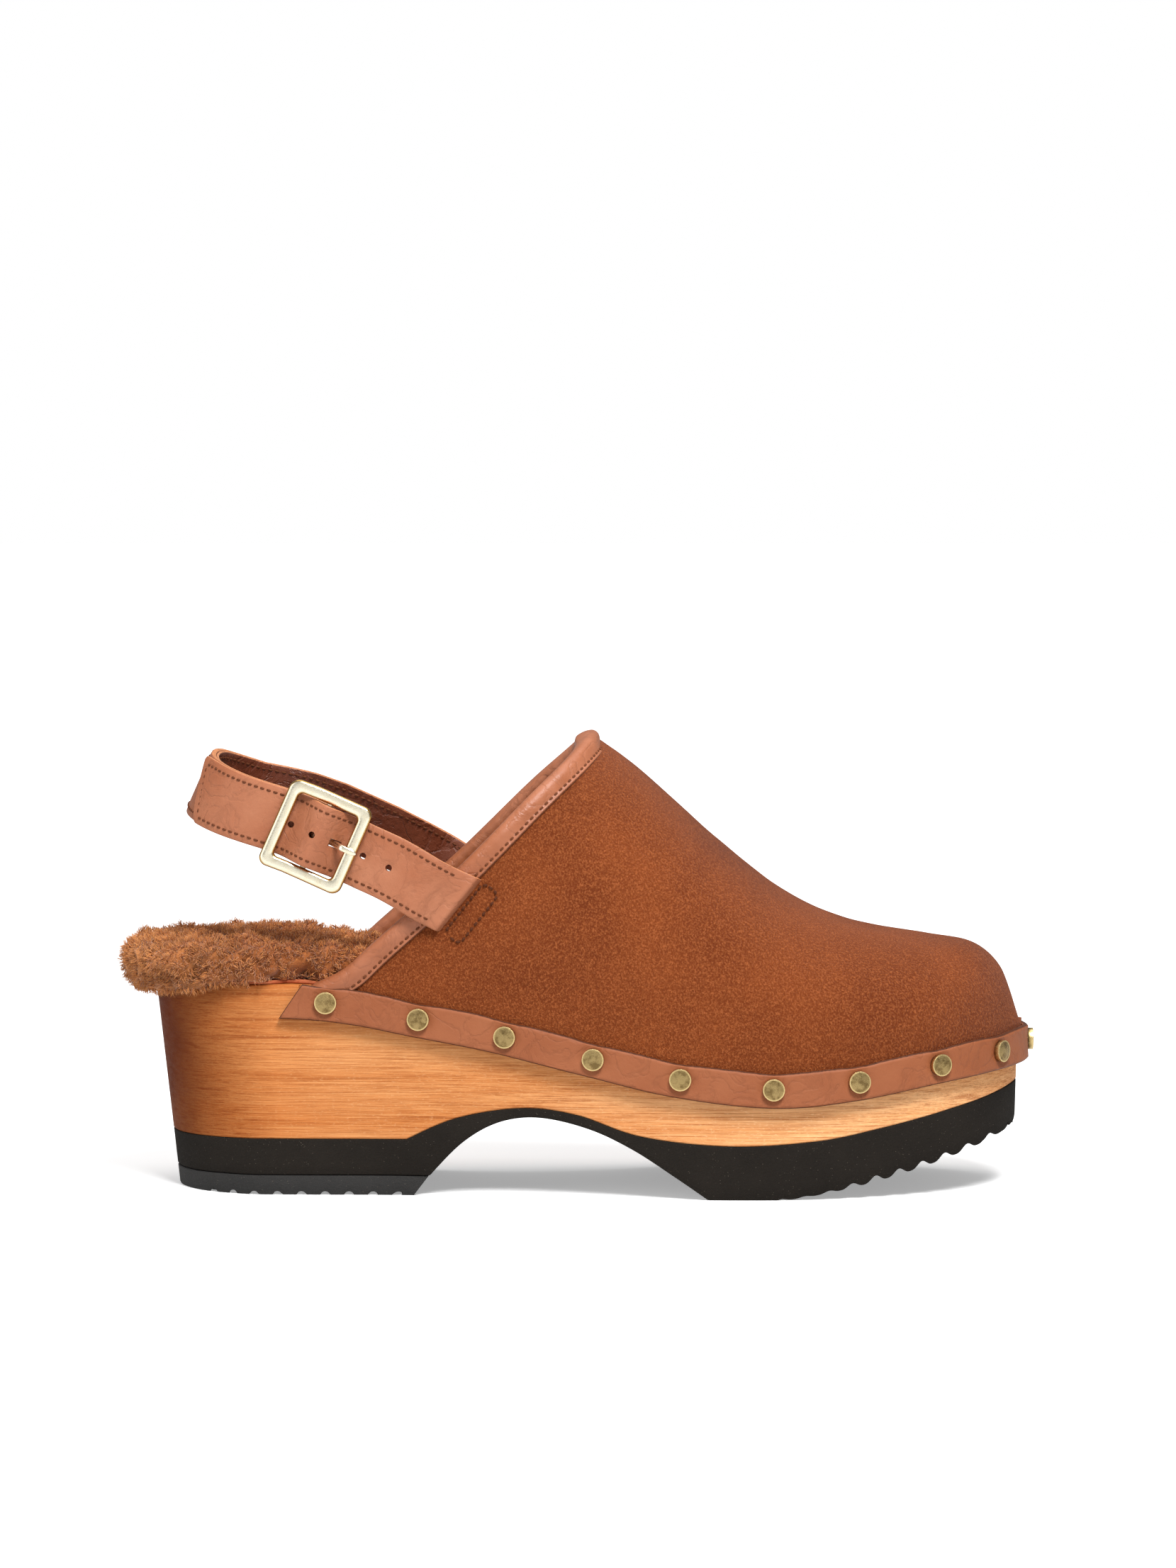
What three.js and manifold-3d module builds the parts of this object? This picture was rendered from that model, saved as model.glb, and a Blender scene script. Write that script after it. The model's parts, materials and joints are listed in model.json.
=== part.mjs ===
// A right-foot wooden slingback clog, in millimetres: +X runs to the toe, +Z is up, -Y is the outer side.
// While it is built, X = 0 is the back of the wooden heel and Z = 0 is the ground. The last lines
// move the whole clog so that its origin lies under the middle of its box.
import * as THREE from 'three';
import { mergeVertices } from 'three/addons/utils/BufferGeometryUtils.js';
import Module from 'manifold-3d';

const wasm = await Module();
wasm.setup();

// ---- Driving dimensions (mm) ----
const SOLE_LENGTH = 256;
const HEEL_WIDTH = 63;
const BALL_WIDTH = 87;
const HEEL_HEIGHT = 61.6; // top of the wood at the heel
const BALL_HEIGHT = 37; // top of the wood at the ball of the foot
const TOE_RISE = 9.4; // top of the wood at the toe above the ball
const HEEL_RUBBER = 16.5; // ground to wood at the heel
const BALL_RUBBER = 16; // ground to wood at the ball
const TOE_BOTTOM = 30.5; // ground to the wood's lower edge at the toe
const WOOD_CROWN = 26.2; // ground to wood at the highest point of the arch
const ARCH_RUBBER = 2.8; // outsole thickness at that point
const TOP_PIECE = 5.8; // heel top piece thickness
const LUG_PITCH = 7;
const LUG_DEPTH = 1.5;
const GROOVE_DEPTH = 1;
const INSTEP_HEIGHT = 133.6; // ground to the highest point of the vamp
const INSTEP_SHARE = 0.5; // where along the sole that point lies
const RAND_HEIGHT = 10.4;
const RAND = 1.8; // rand strip thickness
const RAND_PROUD = 2.9; // rand face beyond the wood
const SUEDE = 1.4;
const PADDING = 1.5; // space between vamp and lining, where the stiffener and strap tails lie
const LINING = 1.1;
const BINDING = 1.2;
const BINDING_WIDTH = 5;
const PUFF = 0.8;
const HIDE = 1.2;
const PILE_HEEL = 12.6;
const PILE_TOE = 7.5;
const PILE_OVERHANG = 9.5; // pile beyond the wood behind the heel
const STUDS_PER_SIDE = 9;
const STUD_HEAD = 6.4;
const STUD_DOME = 1.5;
const NAIL = 1.6;
const NAIL_LENGTH = 12;
const STRAP_WIDTH = 19;
const STRAP_LEATHER = 1.4;
const STRAP_LINING = 0.9;
const STRAP_RISE = 23.8; // degrees that the strap climbs towards the heel
const STRAP_REACH = 83; // slit to the inside of the strap behind the heel
const SLIT_SETBACK = 7; // topline to slit
const SWING_DOWN = 18; // degrees that the strap swings down from its place on the foot
const SWING_UP = 12;
const HOLE = 2.2;
const HOLE_PITCH = 8;
const PRONG_HOLE = 6.6; // bar to the hole that holds the prong, along the strap
const BUCKLE_LENGTH = 25;
const RAIL = 3;
const STRAP_PLAY = 0.7; // between the strap's edge and the buckle, each side
const RAIL_DEPTH = 2.2;
const BAR = 1.8;
const PRONG = 1.9;
const GAP = 0.3; // clearance between pieces that touch

const WALL = SUEDE + PADDING + LINING; // whole thickness of the upper
const VAMP_PROUD = RAND_PROUD - RAND - GAP; // suede face beyond the wood
const RABBET = WALL + GAP - VAMP_PROUD; // how far the wood steps in behind the upper
const STRAP = STRAP_LEATHER + GAP + STRAP_LINING; // leather and lining of one strap
const BUCKLE_WIDTH = STRAP_WIDTH + 2 * (RAIL + STRAP_PLAY);

// ---- Solids and geometries ----
function solidFrom(geometry) {
  const bare = geometry.clone();
  bare.deleteAttribute('normal');
  bare.deleteAttribute('uv');
  const merged = mergeVertices(bare, 1e-4);
  return new wasm.Manifold(
    new wasm.Mesh({
      numProp: 3,
      vertProperties: merged.attributes.position.array,
      triVerts: new Uint32Array(merged.index.array),
    }),
  );
}

function geometryFrom(solid) {
  const mesh = solid.getMesh();
  const geometry = new THREE.BufferGeometry();
  geometry.setAttribute('position', new THREE.BufferAttribute(new Float32Array(mesh.vertProperties), 3));
  geometry.setIndex(new THREE.BufferAttribute(new Uint32Array(mesh.triVerts), 1));
  geometry.computeVertexNormals();
  return geometry;
}

// A closed body through rings of equal point counts, each end closed by a fan. A body that comes out
// inside out has its triangles turned round.
function loft(rings) {
  const count = rings[0].length;
  const points = rings.flat();
  const triangles = [];
  for (let r = 0; r < rings.length - 1; r += 1) {
    for (let i = 0; i < count; i += 1) {
      const a = r * count + i;
      const b = r * count + ((i + 1) % count);
      triangles.push([a, b, b + count], [a, b + count, a + count]);
    }
  }
  const closeEnd = (start, reversed) => {
    const ring = points.slice(start, start + count);
    const middle = ring.reduce((sum, p) => sum.add(p), new THREE.Vector3()).divideScalar(count);
    points.push(middle);
    for (let i = 0; i < count; i += 1) {
      const a = start + i;
      const b = start + ((i + 1) % count);
      triangles.push(reversed ? [b, a, points.length - 1] : [a, b, points.length - 1]);
    }
  };
  const last = (rings.length - 1) * count;
  closeEnd(0, true);
  closeEnd(last, false);
  const volume = triangles.reduce((sum, [a, b, c]) => {
    const cross = new THREE.Vector3().crossVectors(points[b], points[c]);
    return sum + points[a].dot(cross);
  }, 0);
  const facing = volume < 0 ? triangles.map(([a, b, c]) => [a, c, b]) : triangles;
  const geometry = new THREE.BufferGeometry();
  const positions = points.flatMap((p) => [p.x, p.y, p.z]);
  geometry.setAttribute('position', new THREE.Float32BufferAttribute(positions, 3));
  geometry.setIndex(facing.flat());
  return solidFrom(geometry);
}

// A side-view outline of (x, z) points as a slab right across the clog.
function sideSlab(outline) {
  const reach = 4 * BALL_WIDTH;
  const geometry = new THREE.ExtrudeGeometry(new THREE.Shape(outline), {
    depth: reach,
    bevelEnabled: false,
  });
  geometry.rotateX(Math.PI / 2).translate(0, reach / 2, 0);
  return solidFrom(geometry);
}

// A side-view rectangle between two corners, as an outline.
function sideBox(x0, z0, x1, z1) {
  return [
    new THREE.Vector2(x0, z0),
    new THREE.Vector2(x1, z0),
    new THREE.Vector2(x1, z1),
    new THREE.Vector2(x0, z1),
  ];
}

// A smooth line through a few hand-set points, as a list of points.
function smooth(points, pieces) {
  return new THREE.SplineCurve(points.map(([x, z]) => new THREE.Vector2(x, z))).getPoints(pieces);
}

function valueAt(line, x) {
  const next = line.findIndex((p) => p.x >= x);
  if (next === 0) return line[0].y;
  if (next < 0) return line[line.length - 1].y;
  const [a, b] = [line[next - 1], line[next]];
  return a.y + ((b.y - a.y) * (x - a.x)) / (b.x - a.x);
}

const lifted = (line, rise) => line.map((p) => new THREE.Vector2(p.x, p.y + rise));
const rad = THREE.MathUtils.degToRad;
const between = (low, high, share) => low + (high - low) * Math.min(1, Math.max(0, share));

// ---- Side-view lines ----
const FAR = SOLE_LENGTH * 1.2;
const along = (share) => share * SOLE_LENGTH;
const heelToBall = (share) => BALL_HEIGHT + (HEEL_HEIGHT - BALL_HEIGHT) * share;

const WOOD_TOP = smooth(
  [
    [-30, HEEL_HEIGHT],
    [along(0.08), HEEL_HEIGHT],
    [along(0.17), heelToBall(1)],
    [along(0.235), heelToBall(0.93)],
    [along(0.3), heelToBall(0.8)],
    [along(0.39), heelToBall(0.63)],
    [along(0.5), heelToBall(0.36)],
    [along(0.6), heelToBall(0.125)],
    [along(0.71), BALL_HEIGHT],
    [along(0.8), BALL_HEIGHT + TOE_RISE * 0.19],
    [along(0.9), BALL_HEIGHT + TOE_RISE * 0.66],
    [SOLE_LENGTH, BALL_HEIGHT + TOE_RISE],
    [FAR, BALL_HEIGHT + TOE_RISE * 1.5],
  ],
  40,
);

const BREAST = along(0.293); // where the heel ends and the arch begins
const WOOD_BOTTOM = [
  new THREE.Vector2(-30, HEEL_RUBBER),
  ...smooth(
    [
      [BREAST, HEEL_RUBBER],
      [along(0.35), between(HEEL_RUBBER, WOOD_CROWN, 0.66)],
      [along(0.424), WOOD_CROWN],
      [along(0.487), between(BALL_RUBBER, WOOD_CROWN, 0.83)],
      [along(0.56), between(BALL_RUBBER, WOOD_CROWN, 0.24)],
      [along(0.66), BALL_RUBBER - 0.2],
      [along(0.76), between(BALL_RUBBER, TOE_BOTTOM, 0.08)],
      [along(0.83), between(BALL_RUBBER, TOE_BOTTOM, 0.3)],
      [along(0.91), between(BALL_RUBBER, TOE_BOTTOM, 0.61)],
      [SOLE_LENGTH, TOE_BOTTOM],
      [FAR, TOE_BOTTOM * 1.5],
    ],
    30,
  ),
];

const ARCH_TOP = WOOD_CROWN - ARCH_RUBBER;
const ARCH = smooth(
  [
    [along(0.302), 0],
    [along(0.325), ARCH_TOP * 0.32],
    [along(0.36), ARCH_TOP * 0.7],
    [along(0.4), ARCH_TOP * 0.94],
    [along(0.445), ARCH_TOP],
    [along(0.5), ARCH_TOP * 0.87],
    [along(0.55), ARCH_TOP * 0.62],
    [along(0.6), ARCH_TOP * 0.27],
    [along(0.636), 0],
  ],
  22,
);

// Ridge of the vamp from its peak to the toe; behind the peak it climbs on, above the topline's cut.
const toeTop = BALL_HEIGHT + TOE_RISE;
const climb = (share) => between(toeTop, INSTEP_HEIGHT, share);
const peak = along(INSTEP_SHARE);
const TOE_TIP = SOLE_LENGTH + VAMP_PROUD;
const ridgeAt = (share) => peak + (TOE_TIP - peak) * share;
const RIDGE = smooth(
  [
    [-20, INSTEP_HEIGHT * 1.6],
    [along(0.25), INSTEP_HEIGHT * 1.32],
    [along(0.4), INSTEP_HEIGHT * 1.13],
    [peak, INSTEP_HEIGHT],
    [ridgeAt(0.13), climb(0.86)],
    [ridgeAt(0.29), climb(0.645)],
    [ridgeAt(0.45), climb(0.46)],
    [ridgeAt(0.6), climb(0.36)],
    [ridgeAt(0.78), climb(0.31)],
    [ridgeAt(0.88), climb(0.285)],
    [ridgeAt(0.94), climb(0.22)],
    [ridgeAt(0.97), climb(0.13)],
    [TOE_TIP, climb(-0.02)],
  ],
  52,
);

// ---- Plan outline of the wood: outer side, toe, inner side ----
const outer = -BALL_WIDTH / 2;
const inner = BALL_WIDTH / 2;
const OUTLINE = new THREE.CatmullRomCurve3(
  [
    [0, 0],
    [along(0.012), -HEEL_WIDTH * 0.2],
    [along(0.045), -HEEL_WIDTH * 0.37],
    [along(0.1), -HEEL_WIDTH * 0.475],
    [along(0.18), -HEEL_WIDTH * 0.5],
    [along(0.27), -HEEL_WIDTH * 0.51],
    [along(0.37), outer * 0.805],
    [along(0.49), outer * 0.92],
    [along(0.61), outer],
    [along(0.72), outer * 1.012],
    [along(0.82), outer * 0.925],
    [along(0.905), outer * 0.73],
    [along(0.965), outer * 0.42],
    [SOLE_LENGTH, inner * 0.1],
    [along(0.97), inner * 0.55],
    [along(0.91), inner * 0.79],
    [along(0.82), inner * 0.945],
    [along(0.72), inner * 0.99],
    [along(0.62), inner * 0.92],
    [along(0.5), inner * 0.765],
    [along(0.37), inner * 0.685],
    [along(0.27), HEEL_WIDTH * 0.475],
    [along(0.18), HEEL_WIDTH * 0.49],
    [along(0.1), HEEL_WIDTH * 0.475],
    [along(0.045), HEEL_WIDTH * 0.37],
    [along(0.012), HEEL_WIDTH * 0.2],
  ].map(([x, y]) => new THREE.Vector3(x, y, 0)),
  true,
  'centripetal',
);

// The outline pushed out by a distance, which may differ from place to place.
function outlineAt(offset, count = 72) {
  return Array.from({ length: count }, (_, i) => {
    const p = OUTLINE.getPointAt(i / count);
    const t = OUTLINE.getTangentAt(i / count);
    const push = typeof offset === 'number' ? offset : offset(p.x);
    return new THREE.Vector3(p.x + push * t.y, p.y - push * t.x, 0);
  });
}

const atHeight = (ring, z) => ring.map((p) => new THREE.Vector3(p.x, p.y, z));
const TALL = INSTEP_HEIGHT * 2;

function prism(offset, low = -10, high = TALL, count = 72) {
  const ring = outlineAt(offset, count);
  return loft([atHeight(ring, low), atHeight(ring, high)]);
}

// Half-widths of a pushed-out outline at one x: [outer y, inner y].
function sidesAt(ring, x) {
  const crossings = ring.flatMap((p, i) => {
    const q = ring[(i + 1) % ring.length];
    if ((p.x - x) * (q.x - x) > 0 || p.x === q.x) return [];
    return [p.y + ((q.y - p.y) * (x - p.x)) / (q.x - p.x)];
  });
  return [Math.min(...crossings), Math.max(...crossings)];
}

// ---- The upper's shape ----
// A closed dome over the foot: arches across the clog, upright at the feather edge and rounded over
// the ridge. inset moves the whole face inwards.
const UPPER_BACK = along(0.183);
const SPINE_SHIFT = inner * 0.1;

function dome(inset, stations = 24, rows = 6) {
  const ring = outlineAt(VAMP_PROUD - inset, 200);
  const tip = Math.max(...ring.map((p) => p.x)) - 0.3;
  const back = UPPER_BACK - 25;
  const ridge = RIDGE.map((p, i) => {
    const q = RIDGE[Math.min(i + 1, RIDGE.length - 1)];
    const o = RIDGE[Math.max(i - 1, 0)];
    const t = new THREE.Vector2().subVectors(q, o).normalize();
    return new THREE.Vector2(p.x + t.y * inset, p.y - t.x * inset);
  });
  const arches = Array.from({ length: stations + 1 }, (_, k) => {
    const x = back + (tip - back) * Math.sin((k / stations) * (Math.PI / 2));
    const base = valueAt(WOOD_TOP, x);
    const top = Math.max(valueAt(ridge, x), base + 2);
    const boxy = between(2.1, 2.7, (x - peak) / (tip - peak));
    const [left, right] = sidesAt(ring, x);
    const middle = between(SPINE_SHIFT, (left + right) / 2, (x - along(0.9)) / along(0.1));
    const half = (edge) =>
      Array.from({ length: rows }, (_, j) => {
        const turn = (j / rows) * (Math.PI / 2);
        const out = Math.cos(turn) ** (2 / boxy);
        const up = Math.sin(turn) ** (2 / boxy);
        return new THREE.Vector3(x, middle + (edge - middle) * out, base + (top - base) * up);
      });
    return [
      new THREE.Vector3(x, left, 5),
      ...half(left),
      new THREE.Vector3(x, middle, top),
      ...half(right).reverse(),
      new THREE.Vector3(x, right, 5),
    ];
  });
  return loft(arches);
}

// Side view of what the topline keeps: all in front of a line that climbs from the rand to the instep.
const TOPLINE = smooth(
  [
    [UPPER_BACK - 14, HEEL_HEIGHT - 9],
    [UPPER_BACK + 1.5, HEEL_HEIGHT - 1],
    [along(0.228), HEEL_HEIGHT + 4.2],
    [along(0.262), HEEL_HEIGHT + 12.2],
    [along(0.352), between(HEEL_HEIGHT, INSTEP_HEIGHT, 0.455)],
    [along(0.437), between(HEEL_HEIGHT, INSTEP_HEIGHT, 0.755)],
    [peak + 1, INSTEP_HEIGHT - 1.6],
    [peak + 31, INSTEP_HEIGHT + 29],
  ],
  16,
);
const INNER_SIDE_LIFT = 0.02; // the inner side's topline stands this much higher per mm of width

function belowTopline(shift) {
  const line = TOPLINE.map((p, i) => {
    const q = TOPLINE[Math.min(i + 1, TOPLINE.length - 1)];
    const o = TOPLINE[Math.max(i - 1, 0)];
    const t = new THREE.Vector2().subVectors(q, o).normalize();
    return new THREE.Vector2(p.x - t.y * shift, p.y + t.x * shift);
  });
  const [first, last] = [line[0], line[line.length - 1]];
  const outline = [new THREE.Vector2(first.x, -40), ...line, new THREE.Vector2(FAR, last.y)];
  outline.push(new THREE.Vector2(FAR, -40));
  const lean = new THREE.Matrix4().set(1, 0, 0, 0, 0, 1, 0, 0, 0, INNER_SIDE_LIFT, 1, 0, 0, 0, 0, 1);
  return solidFrom(geometryFrom(sideSlab(outline)).applyMatrix4(lean));
}

// Everything above a line that runs a set height over the wood's top edge.
function above(rise) {
  const line = lifted(WOOD_TOP, rise);
  return sideSlab([...line, new THREE.Vector2(FAR, 3 * TALL), new THREE.Vector2(-30, 3 * TALL)]);
}

const RAND_LOW = GAP * 2 - RAND_HEIGHT;
// The lasting edge hides just above the rand's lower edge, and ends where the rand lies on the wood.
const UPPER_CUT = above(RAND_LOW + 0.9).intersect(sideSlab(sideBox(UPPER_BACK, -50, FAR, 3 * TALL)));

function shell(outside, thickness) {
  return dome(outside).subtract(dome(outside + thickness)).intersect(belowTopline(0)).intersect(UPPER_CUT);
}

// ---- Studs ----
// Places at equal steps along the rand from one back end, round the toe, to the other.
const FIRST_STUD = along(0.198);

function studPlaces() {
  const ring = outlineAt(RAND_PROUD, 720);
  const tipIndex = ring.reduce((best, p, i) => (p.x > ring[best].x ? i : best), 0);
  const start = ring.findIndex((p) => p.y < 0 && p.x > FIRST_STUD);
  const finish = ring.findLastIndex((p) => p.y > 0 && p.x > FIRST_STUD);
  const walk = (from, to, steps) => {
    const path = new THREE.CatmullRomCurve3(ring.slice(from, to + 1));
    path.arcLengthDivisions = 600;
    return Array.from({ length: steps + 1 }, (_, i) => ({
      at: path.getPointAt(i / steps),
      heading: path.getTangentAt(i / steps),
    }));
  };
  const outerSide = walk(start, tipIndex, STUDS_PER_SIDE);
  const innerSide = walk(tipIndex, finish, STUDS_PER_SIDE);
  return [...outerSide, ...innerSide.slice(1)].map(({ at, heading }) => {
    const z = valueAt(WOOD_TOP, at.x) + GAP * 2 - RAND_HEIGHT / 2 + 0.4;
    return {
      seat: new THREE.Vector3(at.x, at.y, z),
      outward: new THREE.Vector3(heading.y, -heading.x, 0).normalize(),
    };
  });
}

const STUD_PLACES = studPlaces();

function alignTo(geometry, place) {
  const turn = new THREE.Quaternion().setFromUnitVectors(new THREE.Vector3(0, 1, 0), place.outward);
  return geometry.applyQuaternion(turn).translate(place.seat.x, place.seat.y, place.seat.z);
}

function studGeometry() {
  const head = STUD_HEAD / 2;
  const profile = [
    [0, -NAIL_LENGTH],
    [NAIL / 2, -NAIL_LENGTH + NAIL],
    [NAIL / 2, GAP],
    [head, GAP],
    [head, GAP + STUD_DOME * 0.3],
    [head * 0.8, GAP + STUD_DOME * 0.85],
    [0, GAP + STUD_DOME],
  ];
  return new THREE.LatheGeometry(profile.map(([r, y]) => new THREE.Vector2(r, y)), 12);
}

function nailBores() {
  const bore = new THREE.CylinderGeometry(NAIL / 2 + GAP, NAIL / 2 + GAP, NAIL_LENGTH + 4, 6);
  bore.translate(0, 2 - NAIL_LENGTH / 2 - GAP, 0);
  const bores = STUD_PLACES.map((place) => solidFrom(alignTo(bore.clone(), place)));
  return bores.reduce((all, one) => all.add(one));
}

const BORES = nailBores();

// ---- Sole ----
// The sides lean in a little towards the ground, most behind the heel.
function soleBlock() {
  const lean = (x) => between(7.4, 1.6, x / along(0.12));
  const bottom = outlineAt((x) => -lean(x));
  const top = outlineAt(0);
  return loft([atHeight(bottom, -2), atHeight(top, HEEL_HEIGHT + 2)]);
}

const SOLE_BLOCK = soleBlock();

function woodenSole() {
  const outline = [...WOOD_BOTTOM, ...WOOD_TOP.slice().reverse()];
  const rabbet = prism(RAND_PROUD + 12)
    .subtract(prism(-RABBET))
    .intersect(above(RAND_LOW + GAP))
    .intersect(sideSlab(sideBox(UPPER_BACK - 2, -50, FAR, TALL)));
  return SOLE_BLOCK.intersect(sideSlab(outline)).subtract(rabbet).subtract(BORES);
}

// Rounded lugs under the forefoot, one arc each, climbing with the toe spring.
const BALL_END = along(0.72);
const TOE_EDGE = along(0.992);
const treadAt = (x) => (TOE_BOTTOM - 13.5) * ((x - BALL_END) / (TOE_EDGE - BALL_END)) ** 1.35;

function scallops() {
  const count = Math.round((TOE_EDGE - BALL_END) / LUG_PITCH);
  const step = (TOE_EDGE - BALL_END) / count;
  const share = [0, 0.18, 0.5, 0.82];
  return Array.from({ length: count }, (_, i) =>
    share.map((s) => {
      const x = BALL_END + (i + s) * step;
      return new THREE.Vector2(x, treadAt(x) + LUG_DEPTH * (1 - Math.sin(s * Math.PI) ** 0.6));
    }),
  ).flat();
}

function rubberOutsole() {
  const toeCorner = new THREE.Vector2(TOE_EDGE, treadAt(TOE_EDGE) + LUG_DEPTH);
  const flatEnd = new THREE.Vector2(BALL_END - 1, 0);
  const toeRise = new THREE.Vector2(SOLE_LENGTH * 0.998, toeCorner.y + 3);
  const toe = [toeCorner, toeRise, new THREE.Vector2(FAR, TOE_BOTTOM)];
  const top = lifted(WOOD_BOTTOM, -GAP).reverse();
  const heelCut = TOP_PIECE + GAP;
  const arch = ARCH.filter((p) => p.y > heelCut || p.x > peak);
  const heel = [new THREE.Vector2(-30, heelCut), new THREE.Vector2(archStart(heelCut), heelCut)];
  const tread = [...heel, ...arch, flatEnd, ...scallops(), ...toe];
  return SOLE_BLOCK.intersect(sideSlab([...tread, ...top.slice(1)]));
}

// Where the heel's front face stands at a height.
function archStart(z) {
  const next = ARCH.findIndex((p) => p.y >= z);
  const [a, b] = [ARCH[Math.max(next - 1, 0)], ARCH[Math.max(next, 1)]];
  return a.x + ((b.x - a.x) * (z - a.y)) / (b.y - a.y);
}

function heelTopPiece() {
  const front = archStart(0);
  const count = Math.floor((front - along(0.03)) / LUG_PITCH);
  const grooves = Array.from({ length: count }, (_, i) => {
    const x = front - 4 - i * LUG_PITCH;
    return [
      new THREE.Vector2(x, 0),
      new THREE.Vector2(x - 1, GROOVE_DEPTH),
      new THREE.Vector2(x - 2, 0),
    ];
  }).flat();
  const outline = [
    new THREE.Vector2(-30, TOP_PIECE),
    new THREE.Vector2(-30, 0),
    ...grooves.reverse(),
    new THREE.Vector2(front, 0),
    new THREE.Vector2(archStart(TOP_PIECE), TOP_PIECE),
  ];
  return SOLE_BLOCK.intersect(sideSlab(outline));
}

// ---- Footbed ----
// All that the upper takes up, and what lies outside it.
function upperZone() {
  const zone = sideSlab(sideBox(UPPER_BACK - 4, -50, FAR, 3 * TALL));
  return zone.subtract(dome(WALL + 2 * GAP + BINDING));
}

const BED_INSET = RABBET + 0.5;
const bedOffset = (outside) => (x) => between(outside(x), -BED_INSET, (x - (UPPER_BACK - 12)) / 6);

function footbedHide() {
  const low = lifted(WOOD_TOP, GAP);
  const high = lifted(WOOD_TOP, GAP + HIDE).reverse();
  return prism(bedOffset(() => -0.5)).intersect(sideSlab([...low, ...high])).subtract(upperZone());
}

const pileTop = (x) => HIDE + GAP + between(PILE_HEEL, PILE_TOE, (x - along(0.2)) / along(0.45));

function shearlingFootbed() {
  const reach = (x) => between(PILE_OVERHANG, 3.4, x / along(0.11));
  const foot = 2 * GAP + HIDE;
  const levels = [
    [HEEL_HEIGHT - 5, -2],
    [HEEL_HEIGHT + 1, 0.4],
    [HEEL_HEIGHT + PILE_HEEL * 0.6, 0],
    [HEEL_HEIGHT + PILE_HEEL + 2, -3],
  ];
  const lowest = atHeight(outlineAt((x) => between(reach(x) - 2, -BED_INSET, (x - 38) / 6)), -5);
  const rings = levels.map(([z, extra]) =>
    atHeight(outlineAt((x) => between(reach(x) + extra, -BED_INSET, (x - (UPPER_BACK - 12)) / 6)), z),
  );
  const bottom = WOOD_TOP.map((p) => new THREE.Vector2(p.x, p.y + foot)).filter((p) => p.x > 2);
  const behind = [
    new THREE.Vector2(-30, HEEL_HEIGHT - 5),
    new THREE.Vector2(-GAP * 2, HEEL_HEIGHT - 5),
    new THREE.Vector2(-GAP * 2, HEEL_HEIGHT + foot),
  ];
  const top = WOOD_TOP.map((p) => new THREE.Vector2(p.x, p.y + GAP + pileTop(p.x))).reverse();
  return loft([lowest, ...rings]).intersect(sideSlab([...behind, ...bottom, ...top])).subtract(upperZone());
}

// ---- Rand ----
function randStrip() {
  const low = lifted(WOOD_TOP, RAND_LOW);
  const high = lifted(WOOD_TOP, RAND_LOW + RAND_HEIGHT).reverse();
  const back = along(0.148);
  const slant = 6.5;
  const zBack = HEEL_HEIGHT + RAND_LOW;
  const ends = [
    new THREE.Vector2(back - 2, zBack - 3),
    new THREE.Vector2(FAR, -30),
    new THREE.Vector2(FAR, TALL),
    new THREE.Vector2(back + slant + 3, zBack + RAND_HEIGHT + 4),
  ];
  const onWood = GAP - (RAND_PROUD - RAND); // behind the upper the strip comes in to lie on the wood
  const settle = (proud) => (x) => proud + between(onWood, 0, (x - back) / (UPPER_BACK - back));
  return prism(settle(RAND_PROUD), -10, TALL, 110)
    .subtract(prism(settle(RAND_PROUD - RAND), -10, TALL, 110))
    .intersect(sideSlab([...low, ...high]))
    .intersect(sideSlab(ends))
    .subtract(BORES);
}

// ---- Straps ----
// The strap frame: X runs along the strap's plane towards the toe, the origin lies on the line
// through both slits, and the frame is turned about Y by the strap's rise.
const slitHeight = between(HEEL_HEIGHT, INSTEP_HEIGHT, 0.348);
const slitCut = TOPLINE.findIndex((p) => p.y > slitHeight);
const [cutLow, cutHigh] = [TOPLINE[slitCut - 1], TOPLINE[slitCut]];
const toplineRise = Math.atan2(cutHigh.y - cutLow.y, cutHigh.x - cutLow.x);
const toplineX = cutLow.x + (slitHeight - cutLow.y) / Math.tan(toplineRise);
const SLIT = new THREE.Vector3(toplineX + SLIT_SETBACK / Math.sin(toplineRise), 0, slitHeight);
const STRAP_FRAME = new THREE.Matrix4().makeRotationY(rad(STRAP_RISE)).setPosition(SLIT);
const SLIT_SLANT = Math.tan(rad(90 - STRAP_RISE) - toplineRise); // the slit runs along the topline
const [slitOuter, slitInner] = sidesAt(outlineAt(VAMP_PROUD, 200), SLIT.x);
const WALL_LEAN = 1; // the suede leans in about this much from the rand up to the slits
const STANDOFF = BINDING + GAP + 0.6 - WALL_LEAN; // strap's inside face beyond the suede's widest place
const INNER_STANDOFF = STANDOFF + 1.1; // the inner wall stands straighter
const RUN_TURN = rad(6); // the outer run turns in towards the heel by this
const RUN = new THREE.Vector2(Math.cos(RUN_TURN), -Math.sin(RUN_TURN));
const RUN_OUT = new THREE.Vector2(RUN.y, -RUN.x);
const BAR_BACK = 46.1; // slits to the buckle's bar
const BEND_BACK = 56; // slits to where the strap starts to bend round the heel
const FRONT = 0.8; // the strap's leather ends this far in front of the slit line
const SECOND = STRAP + GAP; // the billet lies on the sling
const RAIL_SEAT = 2 * STRAP + GAP + 0.6; // underside of the buckle's rails
const BAR_DROP = 1.3; // bar below the middle of the rails
const BAR_LEVEL = RAIL_SEAT + RAIL_DEPTH / 2 - BAR_DROP;
const WRAP = 1.1; // sling leather, thinned where it turns round the bar
const BAR_FIT = 0.25;
const HUMP = BAR_LEVEL + BAR / 2 + BAR_FIT + WRAP + GAP - SECOND; // billet's rise over the bar
const HUMP_HALF = 9;

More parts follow.
